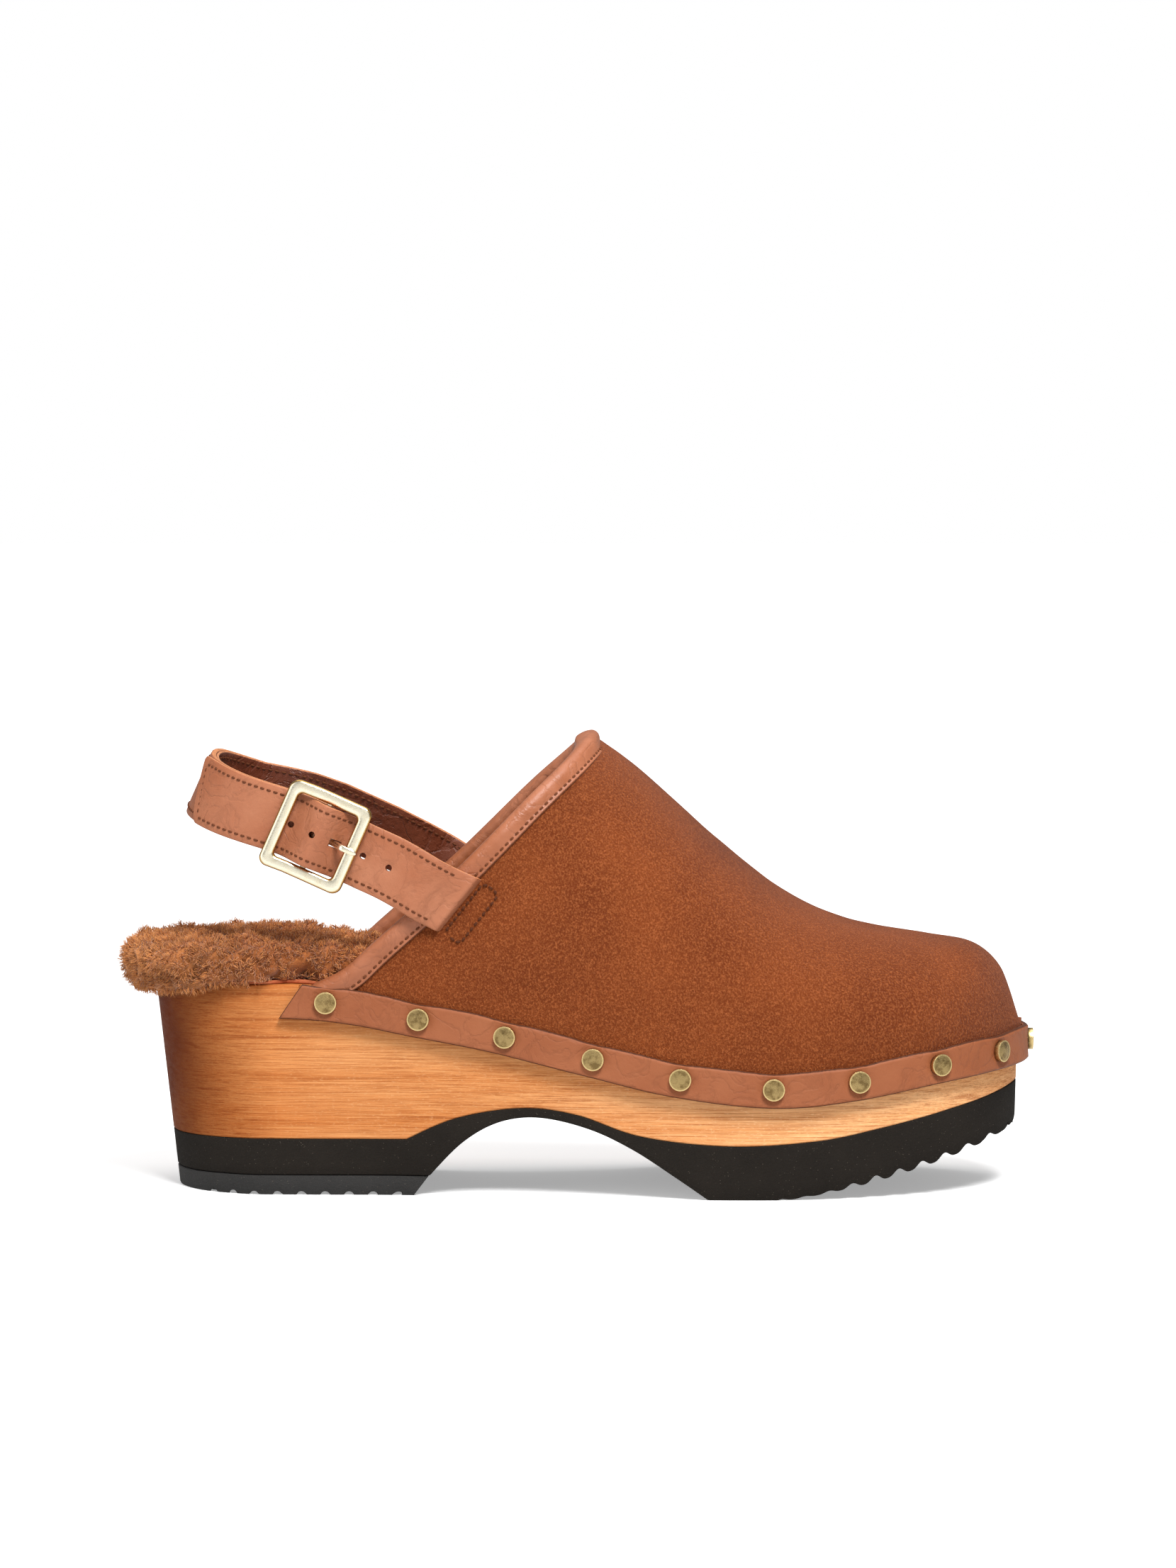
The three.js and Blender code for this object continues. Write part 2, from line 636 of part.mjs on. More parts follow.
// A point of the outer run: distance towards the toe from the bar, and out from the sling's inside face.
function runPoint(s, out) {
  const slitFace = slitOuter - STANDOFF;
  const barFace = slitFace - (BAR_BACK / RUN.x) * RUN.y - SECOND * RUN_OUT.y;
  const foot = new THREE.Vector2(-BAR_BACK, barFace);
  return foot.addScaledVector(RUN, s).addScaledVector(RUN_OUT, out);
}

const outerRun = (stations) => stations.map((s) => runPoint(s, 0));
const bendHalf = -runPoint(BAR_BACK - BEND_BACK, 0).y;

function bend(share = 1) {
  return Array.from({ length: 13 }, (_, i) => {
    const turn = Math.PI * (1.5 - (i / 12) * share);
    const reach = STRAP_REACH - BEND_BACK;
    return new THREE.Vector2(-BEND_BACK + reach * Math.cos(turn), bendHalf * Math.sin(turn));
  });
}

// From the inner slit round the heel to just short of the bar.
function slingLine() {
  const face = slitInner + INNER_STANDOFF;
  const innerRun = [FRONT, -10, -34].map((x) => {
    const share = Math.max(0, -x - 10) / (BEND_BACK - 10);
    return new THREE.Vector2(x, between(face, bendHalf, share));
  });
  return [...innerRun, ...bend().reverse(), ...outerRun([-8])];
}

// Moves a line out, away from the foot, by one distance or by one for each point.
function pushed(line, distances) {
  return line.map((p, i) => {
    const ahead = line[Math.min(i + 1, line.length - 1)];
    const behind = line[Math.max(i - 1, 0)];
    const t = new THREE.Vector2().subVectors(ahead, behind).normalize();
    const d = typeof distances === 'number' ? distances : distances[i];
    return new THREE.Vector2(p.x + t.y * d, p.y - t.x * d);
  });
}

// A plan outline in the strap frame, as wide as the strap or a given width.
function strapPlate(outline, width = STRAP_WIDTH) {
  const across = { depth: width, bevelEnabled: false };
  const geometry = new THREE.ExtrudeGeometry(new THREE.Shape(outline), across);
  return solidFrom(geometry.translate(0, 0, -width / 2));
}

function ply(line, low, high) {
  const lows = typeof low === 'number' ? line.map(() => low) : low;
  const highs = typeof high === 'number' ? line.map(() => high) : high;
  return strapPlate([...pushed(line, lows), ...pushed(line, highs).reverse()]);
}

// The part of the strap frame behind the slit's slanting line, shifted along X.
function behindSlit(shift) {
  const far = 60;
  const geometry = new THREE.ExtrudeGeometry(
    new THREE.Shape([
      new THREE.Vector2(-4 * STRAP_REACH, -far),
      new THREE.Vector2(shift - far * SLIT_SLANT, -far),
      new THREE.Vector2(shift + far * SLIT_SLANT, far),
      new THREE.Vector2(-4 * STRAP_REACH, far),
    ]),
    { depth: 4 * BALL_WIDTH, bevelEnabled: false },
  );
  return solidFrom(geometry.rotateX(Math.PI / 2).translate(0, 2 * BALL_WIDTH, 0));
}

// A bar or bore across the strap at a run distance, standing out from the sling's face.
function runBore(s, out, radius) {
  const geometry = new THREE.CylinderGeometry(radius, radius, 16, 8);
  const p = runPoint(s, out);
  geometry.rotateZ(Math.atan2(RUN.y, RUN.x)).translate(p.x, p.y, 0);
  return solidFrom(geometry);
}

function barRound(radius, length, sides = 16) {
  const geometry = new THREE.CylinderGeometry(radius, radius, length, sides);
  const p = runPoint(0, BAR_LEVEL);
  return solidFrom(geometry.rotateX(Math.PI / 2).translate(p.x, p.y, 0));
}

function slingStrap() {
  const line = slingLine();
  const wrapRadius = BAR / 2 + BAR_FIT + WRAP;
  const round = Array.from({ length: 13 }, (_, i) => {
    const turn = rad(140 - i * 21);
    return runPoint(wrapRadius * Math.cos(turn), BAR_LEVEL + wrapRadius * Math.sin(turn));
  });
  const taper = [runPoint(-8, STRAP), runPoint(-5, STRAP + 0.6), runPoint(-3.2, STRAP + 2.4)];
  const inside = pushed(line, STRAP_LINING + GAP);
  const outside = pushed(line, STRAP).slice(0, -1);
  const outline = [...outside, ...taper, ...round, ...inside.reverse()];
  const notch = strapPlate(
    [[-3.5, 0], [6, 0], [6, 12], [-3.5, 12]].map(([s, n]) => runPoint(s, n)),
    PRONG + 4 * GAP,
  );
  return strapPlate(outline)
    .subtract(barRound(BAR / 2 + BAR_FIT, STRAP_WIDTH + 2))
    .subtract(notch)
    .intersect(behindSlit(-GAP));
}

function slingLining() {
  return ply(slingLine(), 0, STRAP_LINING).intersect(behindSlit(-GAP));
}

// From the outer slit over the bar to the squared free end on the heel bend.
const BILLET_SHARE = 0.34; // share of the heel bend that the billet's end covers

function billetLine() {
  const steps = Array.from({ length: 13 }, (_, i) => HUMP_HALF - i * (HUMP_HALF / 6));
  const stations = [BAR_BACK / RUN.x + FRONT, 30, 14, ...steps];
  const line = [...outerRun(stations), ...bend(BILLET_SHARE)].reverse();
  const swell = (s) => Math.cos((Math.min(Math.abs(s) / HUMP_HALF, 1) * Math.PI) / 2) ** 2;
  const rises = [...stations.map(swell), ...bend(BILLET_SHARE).map(() => 0)].reverse();
  return { line, rises: rises.map((share) => SECOND + share * HUMP) };
}

function holeBores() {
  const plain = [2, 3].map((i) => runBore(PRONG_HOLE + (i - 1) * HOLE_PITCH, SECOND, HOLE / 2));
  const back = runBore(-2.2, SECOND + HUMP, HOLE / 2);
  const behind = runBore(-8.4, SECOND, HOLE / 2);
  const forProng = strapPlate(
    [[1.6, 5.2], [6.4, 4.2], [7.3, 8.2], [4.4, 9.4], [1.6, 8.5]].map(([s, n]) => runPoint(s, n)),
    PRONG + 2.4 * GAP,
  );
  return [...plain, behind, forProng].reduce((all, one) => all.add(one), back);
}

function billetStrap() {
  const { line, rises } = billetLine();
  const low = rises.map((d) => d + STRAP_LINING + GAP);
  const high = rises.map((d) => d + STRAP);
  return ply(line, low, high).subtract(holeBores()).intersect(behindSlit(-GAP));
}

function billetLining() {
  const { line, rises } = billetLine();
  const high = rises.map((d) => d + STRAP_LINING);
  return ply(line, rises, high).subtract(holeBores()).intersect(behindSlit(-GAP));
}

// ---- Buckle ----
function roundedBox(length, width, corner) {
  const [x, y] = [length / 2, width / 2];
  const shape = new THREE.Shape();
  shape.moveTo(-x + corner, -y);
  shape.lineTo(x - corner, -y).absarc(x - corner, -y + corner, corner, -Math.PI / 2, 0);
  shape.lineTo(x, y - corner).absarc(x - corner, y - corner, corner, 0, Math.PI / 2);
  shape.lineTo(-x + corner, y).absarc(-x + corner, y - corner, corner, Math.PI / 2, Math.PI);
  shape.lineTo(-x, -y + corner).absarc(-x + corner, -y + corner, corner, Math.PI, 1.5 * Math.PI);
  return shape;
}

function buckleFrame() {
  const shape = roundedBox(BUCKLE_LENGTH, BUCKLE_WIDTH, 2.6);
  shape.holes.push(roundedBox(BUCKLE_LENGTH - 2 * RAIL, BUCKLE_WIDTH - 2 * RAIL, 1.2));
  const edge = 0.5;
  const geometry = new THREE.ExtrudeGeometry(shape, {
    depth: RAIL_DEPTH - 2 * edge,
    bevelThickness: edge,
    bevelSize: edge,
    bevelOffset: -edge,
    bevelSegments: 1,
    curveSegments: 3,
  });
  const seat = runPoint(0, RAIL_SEAT + RAIL_DEPTH - edge);
  geometry.rotateX(Math.PI / 2).translate(0, RAIL_DEPTH - 2 * edge, 0);
  geometry.rotateZ(Math.atan2(RUN.y, RUN.x)).translate(seat.x, seat.y, 0);
  return solidFrom(geometry).add(barRound(BAR / 2, BUCKLE_WIDTH - RAIL));
}

// Bent from flat wire: a ring round the bar, then out through the hole and onto the front rail.
function buckleProng() {
  const ring = BAR / 2 + BAR_FIT + WRAP;
  const top = RAIL_SEAT + RAIL_DEPTH + GAP;
  const round = Array.from({ length: 12 }, (_, i) => {
    const turn = rad(110 + i * 24);
    return [ring * Math.cos(turn), BAR_LEVEL + ring * Math.sin(turn)];
  });
  const arm = [
    [4.5, BAR_LEVEL + 0.2],
    [9, top],
    [12.6, top],
    [12.2, top + 1.1],
    [8.6, top + 1.4],
    [4, BAR_LEVEL + 1.7],
  ];
  const plate = strapPlate([...round, ...arm].map(([s, n]) => runPoint(s, n)), PRONG);
  return plate.subtract(barRound(BAR / 2 + BAR_FIT, STRAP_WIDTH));
}

// ---- Strap tails and slits ----
const TAIL = 0.8;
const TAIL_LENGTH = 14;
const SLIT_PLAY = 0.5;

// A slab along the slanting slit line, from one X to another, over one side of the clog.
function slitSlab(from, to, width, outerSide) {
  const half = width / 2;
  const outline = [
    new THREE.Vector2(from - half * SLIT_SLANT, -half),
    new THREE.Vector2(to - half * SLIT_SLANT, -half),
    new THREE.Vector2(to + half * SLIT_SLANT, half),
    new THREE.Vector2(from + half * SLIT_SLANT, half),
  ];
  const geometry = new THREE.ExtrudeGeometry(new THREE.Shape(outline), { depth: 60, bevelEnabled: false });
  geometry.rotateX(Math.PI / 2).translate(0, outerSide ? -10 : 70, 0);
  return solidFrom(geometry.applyMatrix4(STRAP_FRAME));
}

const tailSkin = dome(SUEDE + GAP).subtract(dome(SUEDE + GAP + TAIL));

// All that the strap's end sweeps through between the lowest and the highest place of its swing.
function swingRoom() {
  const end = geometryFrom(behindSlit(-GAP / 3));
  const turned = [-SWING_DOWN, SWING_UP].map((turn) => {
    const swing = new THREE.Matrix4().makeRotationY(rad(turn)).premultiply(STRAP_FRAME);
    return solidFrom(end.clone().applyMatrix4(swing));
  });
  return turned[0].add(turned[1]);
}

function slits() {
  const [low, high] = [-SLIT_PLAY, TAIL + SLIT_PLAY];
  const width = STRAP_WIDTH + 2;
  return slitSlab(low, high, width, true).add(slitSlab(low, high, width, false));
}

// The strap's thinned end: a lip that meets the strap outside the slit, and a sheet behind the suede.
function strapTail(outerSide) {
  const width = STRAP_WIDTH - 1;
  const reach = outerSide ? slitOuter - STANDOFF - STRAP / 2 : slitInner + INNER_STANDOFF + STRAP / 2;
  const sheet = tailSkin.intersect(slitSlab(0, TAIL_LENGTH, width, outerSide));
  const outside = new THREE.BoxGeometry(4 * BALL_WIDTH, Math.abs(reach), 4 * BALL_WIDTH);
  outside.translate(0, reach / 2, 0);
  const lip = slitSlab(0, TAIL, width, outerSide)
    .intersect(solidFrom(outside))
    .subtract(dome(SUEDE + GAP + TAIL));
  return sheet.add(lip).subtract(swingRoom());
}

// ---- Upper pieces ----
const suedeVamp = () => shell(0, SUEDE).subtract(slits()).subtract(BORES);
const vampLining = () => shell(SUEDE + PADDING, LINING).subtract(BORES);

function toePuff() {
  const inset = SUEDE + (PADDING - PUFF) / 2;
  const front = sideSlab(sideBox(along(0.8), -50, FAR, TALL));
  return dome(inset).subtract(dome(inset + PUFF)).intersect(front).intersect(above(GAP * 3));
}

function toplineBinding() {
  const sleeve = dome(-GAP - BINDING).subtract(dome(WALL + GAP + BINDING));
  const kept = dome(-GAP).subtract(dome(WALL + GAP)).intersect(belowTopline(GAP));
  return sleeve
    .intersect(belowTopline(GAP + BINDING))
    .subtract(belowTopline(-BINDING_WIDTH))
    .subtract(kept)
    .intersect(above(GAP * 4));
}

// ---- Assembly ----
const PAINT = {
  wood: { color: '#c07a45', roughness: 0.55, metalness: 0 },
  rubber: { color: '#211f1e', roughness: 0.9, metalness: 0 },
  lift: { color: '#33302e', roughness: 0.85, metalness: 0 },
  suede: { color: '#7d4222', roughness: 0.95, metalness: 0 },
  tan: { color: '#a8623d', roughness: 0.5, metalness: 0 },
  lining: { color: '#4f3427', roughness: 0.8, metalness: 0 },
  pile: { color: '#6f4c33', roughness: 1, metalness: 0 },
  brass: { color: '#c9b072', roughness: 0.3, metalness: 1 },
};

const group = new THREE.Group();
const strapGroup = new THREE.Group();
STRAP_FRAME.decompose(strapGroup.position, strapGroup.quaternion, strapGroup.scale);
group.add(strapGroup);

function add(name, body, paint, parent = group) {
  const geometry = body.isBufferGeometry ? body : geometryFrom(body);
  const mesh = new THREE.Mesh(geometry, new THREE.MeshStandardMaterial(PAINT[paint]));
  mesh.name = name;
  parent.add(mesh);
}

add('heel_top_piece', heelTopPiece(), 'lift');
add('rubber_outsole', rubberOutsole(), 'rubber');
add('wooden_sole', woodenSole(), 'wood');
add('footbed_hide', footbedHide(), 'tan');
add('shearling_footbed', shearlingFootbed(), 'pile');
add('vamp_lining', vampLining(), 'lining');
add('toe_puff', toePuff(), 'lining');
add('suede_vamp', suedeVamp(), 'suede');
add('topline_binding', toplineBinding(), 'tan');
add('rand_strip', randStrip(), 'tan');
add('sling_strap_tail', strapTail(false), 'tan');
add('billet_strap_tail', strapTail(true), 'tan');
STUD_PLACES.forEach((place, i) => {
  add(`stud_${String(i + 1).padStart(2, '0')}`, alignTo(studGeometry(), place), 'brass');
});
add('sling_strap', slingStrap(), 'tan', strapGroup);
add('sling_strap_lining', slingLining(), 'lining', strapGroup);
add('billet_strap', billetStrap(), 'tan', strapGroup);
add('billet_strap_lining', billetLining(), 'lining', strapGroup);
add('buckle_frame', buckleFrame(), 'brass', strapGroup);
add('buckle_prong', buckleProng(), 'brass', strapGroup);

// The origin is the middle of the clog's box, on the ground.
const box = new THREE.Box3().setFromObject(group, true);
const middle = box.getCenter(new THREE.Vector3());
group.position.set(-middle.x, -middle.y, -box.min.z);

export default group;
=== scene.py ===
import json
import logging
import math
from collections.abc import Callable, Iterator
from contextlib import contextmanager
from dataclasses import dataclass, field
from enum import Enum

import bpy
import numpy as np
from mathutils import Matrix, Vector, kdtree, noise


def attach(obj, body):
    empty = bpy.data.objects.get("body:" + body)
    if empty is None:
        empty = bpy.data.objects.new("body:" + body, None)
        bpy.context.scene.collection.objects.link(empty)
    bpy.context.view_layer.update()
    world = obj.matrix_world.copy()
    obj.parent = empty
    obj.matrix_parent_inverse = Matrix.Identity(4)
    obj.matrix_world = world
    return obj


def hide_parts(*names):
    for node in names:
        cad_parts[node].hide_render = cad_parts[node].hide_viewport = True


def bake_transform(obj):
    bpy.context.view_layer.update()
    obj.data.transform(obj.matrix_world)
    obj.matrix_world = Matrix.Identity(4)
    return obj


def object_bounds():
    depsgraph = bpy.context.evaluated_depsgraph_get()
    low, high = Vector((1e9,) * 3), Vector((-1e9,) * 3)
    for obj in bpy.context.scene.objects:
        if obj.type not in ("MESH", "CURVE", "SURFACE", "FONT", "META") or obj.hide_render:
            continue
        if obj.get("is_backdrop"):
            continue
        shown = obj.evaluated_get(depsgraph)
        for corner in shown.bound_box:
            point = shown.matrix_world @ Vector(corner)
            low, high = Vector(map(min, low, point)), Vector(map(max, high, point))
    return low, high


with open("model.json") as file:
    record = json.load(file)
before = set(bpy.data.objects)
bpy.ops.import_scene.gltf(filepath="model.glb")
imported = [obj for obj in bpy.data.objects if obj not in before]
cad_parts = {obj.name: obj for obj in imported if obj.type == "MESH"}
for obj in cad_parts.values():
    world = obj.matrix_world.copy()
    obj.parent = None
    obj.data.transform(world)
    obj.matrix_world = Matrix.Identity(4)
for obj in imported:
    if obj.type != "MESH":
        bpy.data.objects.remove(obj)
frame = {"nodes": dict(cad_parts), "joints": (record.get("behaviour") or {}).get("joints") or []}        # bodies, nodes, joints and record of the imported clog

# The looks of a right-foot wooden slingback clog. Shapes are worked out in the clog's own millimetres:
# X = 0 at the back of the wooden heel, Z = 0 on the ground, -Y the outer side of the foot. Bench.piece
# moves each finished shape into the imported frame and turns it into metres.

MM = 0.001
LOG = logging.getLogger("clog")
Array = np.ndarray
Socket = bpy.types.NodeSocket
Material = bpy.types.Material
Piece = bpy.types.Object
Edge = Callable[[Array], Array]


class Body(Enum):
    """The moving bodies that a piece can ride on."""

    CLOG = "clog"
    STRAP = "strap"
    BUCKLE = "buckle"
    PRONG = "prong"


class Side(Enum):
    """The two sides of the foot, as an index into outline arrays."""

    OUTER = 0
    INNER = 1


# ---- Small geometry tools ----
def full_turn(count: int) -> Array:
    """Angles once round, without the last one, which is the first again."""
    return np.linspace(0, 2 * math.pi, count + 1)[:-1]


def open_curve(points: list, pieces: int) -> Array:
    """Smooth line through given points.

    Args:
        points: The points, of any dimension.
        pieces: How many points to return.

    Returns:
        An array of points along the line, its ends included.
    """
    p = np.array(points, float)
    last = len(p) - 1
    t = np.linspace(0, last, pieces)
    i = np.minimum(t.astype(int), last - 1)
    w = (t - i)[:, None]
    a, b, c, d = p[np.maximum(i - 1, 0)], p[i], p[i + 1], p[np.minimum(i + 2, last)]
    v, u = (c - a) / 2, (d - b) / 2
    return (2 * b - 2 * c + v + u) * w**3 + (-3 * b + 3 * c - 2 * v - u) * w**2 + v * w + b


def closed_curve(points: list, per_span: int) -> Array:
    """Smooth closed line through given points, with even bends between uneven spans.

    Args:
        points: The points in order.
        per_span: How many points to return for each span.

    Returns:
        An array of points round the line.
    """
    p = np.array(points, float)
    count = len(p)
    i = np.repeat(np.arange(count), per_span)
    w = np.tile(np.arange(per_span) / per_span, count)[:, None]
    a, b, c, d = (p[(i + k) % count] for k in (-1, 0, 1, 2))
    k0, k1, k2 = ((((p1 - p2) ** 2).sum(1) ** 0.25)[:, None] for p1, p2 in ((a, b), (b, c), (c, d)))
    t1 = ((b - a) / k0 - (c - a) / (k0 + k1) + (c - b) / k1) * k1
    t2 = ((c - b) / k1 - (d - b) / (k1 + k2) + (d - c) / k2) * k1
    return b + t1 * w + (-3 * b + 3 * c - 2 * t1 - t2) * w**2 + (2 * b - 2 * c + t1 + t2) * w**3


def unit(v: Array) -> Array:
    """Rows scaled to length one."""
    return v / np.maximum(np.linalg.norm(v, axis=-1, keepdims=True), 1e-12)


def arc_lengths(line: Array) -> Array:
    """Distance along a line at each of its points."""
    return np.concatenate([[0], np.cumsum(np.linalg.norm(np.diff(line, axis=0), axis=1))])


def at_lengths(line: Array, lengths: Array) -> Array:
    """Points of a line at given distances along it."""
    return columns(lengths, arc_lengths(line), line)


def columns(at: Array, s: Array, table: Array) -> Array:
    """Rows of a table, between whose own places s the places at are looked up."""
    return np.stack([np.interp(at, s, table[:, k]) for k in range(table.shape[1])], axis=-1)


def ramp(low: float, high: float, value: Array) -> Array:
    """0 below low, 1 above high and a smooth step between."""
    t = np.clip((np.asarray(value, float) - low) / (high - low), 0, 1)
    return t * t * (3 - 2 * t)


def mix(a: Array, b: Array, share: Array) -> Array:
    """A share of the way from a to b, held between them."""
    return a + (b - a) * np.clip(share, 0, 1)


def wobble(points: Array, scale: float, seed: float = 0.0) -> Array:
    """Smooth noise, about -1 to 1, at each point.

    Args:
        points: Rows of x, y, z in mm.
        scale: Size of the noise's lumps in mm.
        seed: Moves the pattern, so that two uses differ.

    Returns:
        One value for each row.
    """
    moved = points.reshape(-1, 3) / scale + seed
    values = [noise.noise(Vector(p)) for p in moved]
    return np.array(values).reshape(points.shape[:-1])


@dataclass
class Shape:
    """A mesh in the making: points in mm, faces, and named values for each point."""

    points: Array
    faces: list
    masks: dict[str, Array] = field(default_factory=dict)


def grid_faces(rows: int, cols: int, ring: bool = False, first: int = 0) -> list:
    """Quads over a grid of points.

    Args:
        rows: Rows of the grid.
        cols: Points in each row.
        ring: Whether each row closes on itself.
        first: Index of the grid's first point.

    Returns:
        The quads as index tuples.
    """
    r, c = np.meshgrid(np.arange(rows - 1), np.arange(cols if ring else cols - 1), indexing="ij")
    a, b = r * cols + c, r * cols + (c + 1) % cols
    quads = np.stack([a, b, b + cols, a + cols], axis=-1).reshape(-1, 4) + first
    return [tuple(q) for q in quads.tolist()]


def tube(loops: Array, masks: dict[str, Array] | None = None, hoop: bool = False) -> Shape:
    """A closed body through loops of points.

    Args:
        loops: Array of loops by points by three.
        masks: Values of the same first two sizes.
        hoop: Whether the last loop meets the first one, instead of a flat face over each end.

    Returns:
        The body.
    """
    rows, cols = loops.shape[:2]
    faces = grid_faces(rows, cols, ring=True)
    last = (rows - 1) * cols
    if hoop:
        faces += [(last + k, last + (k + 1) % cols, (k + 1) % cols, k) for k in range(cols)]
    else:
        faces += [tuple(range(cols)), tuple(range(last, rows * cols))[::-1]]
    flat = {k: v.reshape(-1) for k, v in (masks or {}).items()}
    return Shape(loops.reshape(-1, 3), faces, flat)


def thick_sheet(face: Array, back: Array, seam_from: int | None = None) -> Shape:
    """A sheet with a face, a back and closed rims.

    Args:
        face: Grid of points of the face.
        back: Grid of points of the back, of the same size.
        seam_from: From this row on, the last column meets another sheet and gets no rim.

    Returns:
        The sheet.
    """
    rows, cols = face.shape[:2]
    size = rows * cols
    faces = grid_faces(rows, cols)
    faces += [f[::-1] for f in grid_faces(rows, cols, first=size)]

    def rim(line: list) -> None:
        """Closes the gap between face and back along a line of indices."""
        faces.extend((a, b, b + size, a + size) for a, b in zip(line, line[1:]))

    rim(list(range(cols))[::-1])
    rim([(rows - 1) * cols + c for c in range(cols)])
    rim([r * cols for r in range(rows)])
    rim([r * cols + cols - 1 for r in range(rows if seam_from is None else seam_from + 1)][::-1])
    return Shape(np.concatenate([face.reshape(-1, 3), back.reshape(-1, 3)]), faces)


# ---- The clog's lines ----
@dataclass
class Lines:
    """Side-view lines, plan outline and upper surface of the clog, in mm."""

    sole: float = 256.0
    heel_width: float = 63.0
    ball_width: float = 87.0
    heel_height: float = 61.6
    ball_height: float = 37.0
    toe_rise: float = 9.4
    heel_rubber: float = 16.5
    ball_rubber: float = 16.0
    toe_bottom: float = 30.5
    wood_crown: float = 26.2
    arch_rubber: float = 2.8
    top_piece: float = 5.8
    instep: float = 133.6
    proud: float = 0.8
    suede: float = 1.4
    lining: float = 1.1
    wall: float = 4.0
    rand_height: float = 10.4
    rand: float = 1.8
    rand_proud: float = 2.9
    gap: float = 0.3
    inner_lift: float = 0.02
    tuck: float = 8.9

    def __post_init__(self) -> None:
        """Works out every line once."""
        top, low = self.from_ball, self.ball_height
        self.peak = self.sole / 2
        self.upper_back = self.share(0.183)
        self.wood_top_line = self.side_line(
            [(-30 / self.sole, top(1)), (0.08, top(1)), (0.17, top(1)), (0.235, top(0.93)), (0.3, top(0.8)),
             (0.39, top(0.63)), (0.5, top(0.36)), (0.6, top(0.125)), (0.71, low),
             (0.8, low + self.toe_rise * 0.19), (0.9, low + self.toe_rise * 0.66),
             (1, low + self.toe_rise), (1.2, low + self.toe_rise * 1.5)])
        heel, ball, toe, crown = self.heel_rubber, self.ball_rubber, self.toe_bottom, self.wood_crown
        bottom = self.side_line(
            [(0.293, heel), (0.35, mix(heel, crown, 0.66)), (0.424, crown), (0.487, mix(ball, crown, 0.83)),
             (0.56, mix(ball, crown, 0.24)), (0.66, ball - 0.2), (0.76, mix(ball, toe, 0.08)),
             (0.83, mix(ball, toe, 0.3)), (0.91, mix(ball, toe, 0.61)), (1, toe), (1.2, toe * 1.5)])
        self.wood_bottom_line = np.vstack([[-30, heel], bottom])
        arch = crown - self.arch_rubber
        self.arch_line = self.side_line(
            [(0.302, 0), (0.325, arch * 0.32), (0.36, arch * 0.7), (0.4, arch * 0.94), (0.445, arch),
             (0.5, arch * 0.87), (0.55, arch * 0.62), (0.6, arch * 0.27), (0.636, 0)])
        self.ridge_line = self.vamp_ridge()
        self.topline = self.vamp_topline()
        self.trace_outline()

    def share(self, part: float) -> float:
        """A share of the sole's length."""
        return part * self.sole

    def from_ball(self, part: float) -> float:
        """Height of the wood's top a share of the way from ball to heel."""
        return self.ball_height + (self.heel_height - self.ball_height) * part

    def side_line(self, points: list) -> Array:
        """Smooth side-view line through (share of the sole, height) points."""
        return open_curve([(self.share(x), z) for x, z in points], 400)

    def vamp_ridge(self) -> Array:
        """The vamp's ridge from behind its peak to the toe."""
        toe_top = self.ball_height + self.toe_rise
        tip = self.sole + self.proud
        steps = [(0.13, 0.86), (0.29, 0.645), (0.45, 0.46), (0.6, 0.36), (0.78, 0.31), (0.88, 0.285),
                 (0.94, 0.22), (0.97, 0.13), (1, -0.02)]
        front = [(mix(self.peak, tip, s), toe_top + (self.instep - toe_top) * c) for s, c in steps]
        back = [(-20, self.instep * 1.6), (self.share(0.25), self.instep * 1.32),
                (self.share(0.4), self.instep * 1.13), (self.peak, self.instep)]
        return open_curve(back + front, 700)

    def vamp_topline(self) -> Array:
        """The edge of the opening, from the rand up to the instep."""
        up = lambda part: mix(self.heel_height, self.instep, part)
        return open_curve(
            [(self.upper_back - 14, self.heel_height - 9), (self.upper_back + 1.5, self.heel_height - 1),
             (self.share(0.228), self.heel_height + 4.2), (self.share(0.262), self.heel_height + 12.2),
             (self.share(0.352), up(0.455)), (self.share(0.437), up(0.755)),
             (self.peak + 1, self.instep - 1.6), (self.peak + 31, self.instep + 29)], 300)

    def trace_outline(self) -> None:
        """The wood's plan outline, split into an outer and an inner side, each from heel to toe."""
        h, o, i = self.heel_width, -self.ball_width / 2, self.ball_width / 2
        shape = [(0, 0), (0.012, -h * 0.2), (0.045, -h * 0.37), (0.1, -h * 0.475), (0.18, -h * 0.5),
                 (0.27, -h * 0.51), (0.37, o * 0.805), (0.49, o * 0.92), (0.61, o), (0.72, o * 1.012),
                 (0.82, o * 0.925), (0.905, o * 0.73), (0.965, o * 0.42), (1, i * 0.1), (0.97, i * 0.55),
                 (0.91, i * 0.79), (0.82, i * 0.945), (0.72, i * 0.99), (0.62, i * 0.92), (0.5, i * 0.765),
                 (0.37, i * 0.685), (0.27, h * 0.475), (0.18, h * 0.49), (0.1, h * 0.475),
                 (0.045, h * 0.37), (0.012, h * 0.2)]
        ring = closed_curve([(self.share(x), y) for x, y in shape], 80)
        along = np.roll(ring, -1, axis=0) - np.roll(ring, 1, axis=0)
        out = unit(np.stack([along[:, 1], -along[:, 0]], axis=1))
        tip = int(np.argmax(ring[:, 0]))
        both = np.hstack([ring, out])
        self.sides = [both[: tip + 1], np.vstack([both[tip:], both[:1]])[::-1]]

    def side(self, side: Side, count: int) -> tuple[Array, Array]:
        """Evenly spaced points of one side and their outward directions.

        Args:
            side: Which side.
            count: How many points, from the heel tip to the toe tip.

        Returns:
            Points and directions.
        """
        line = self.sides[side.value]
        s = arc_lengths(line[:, :2])
        even = np.linspace(0, s[-1], count)
        both = columns(even, s, line)
        return both[:, :2], unit(both[:, 2:])

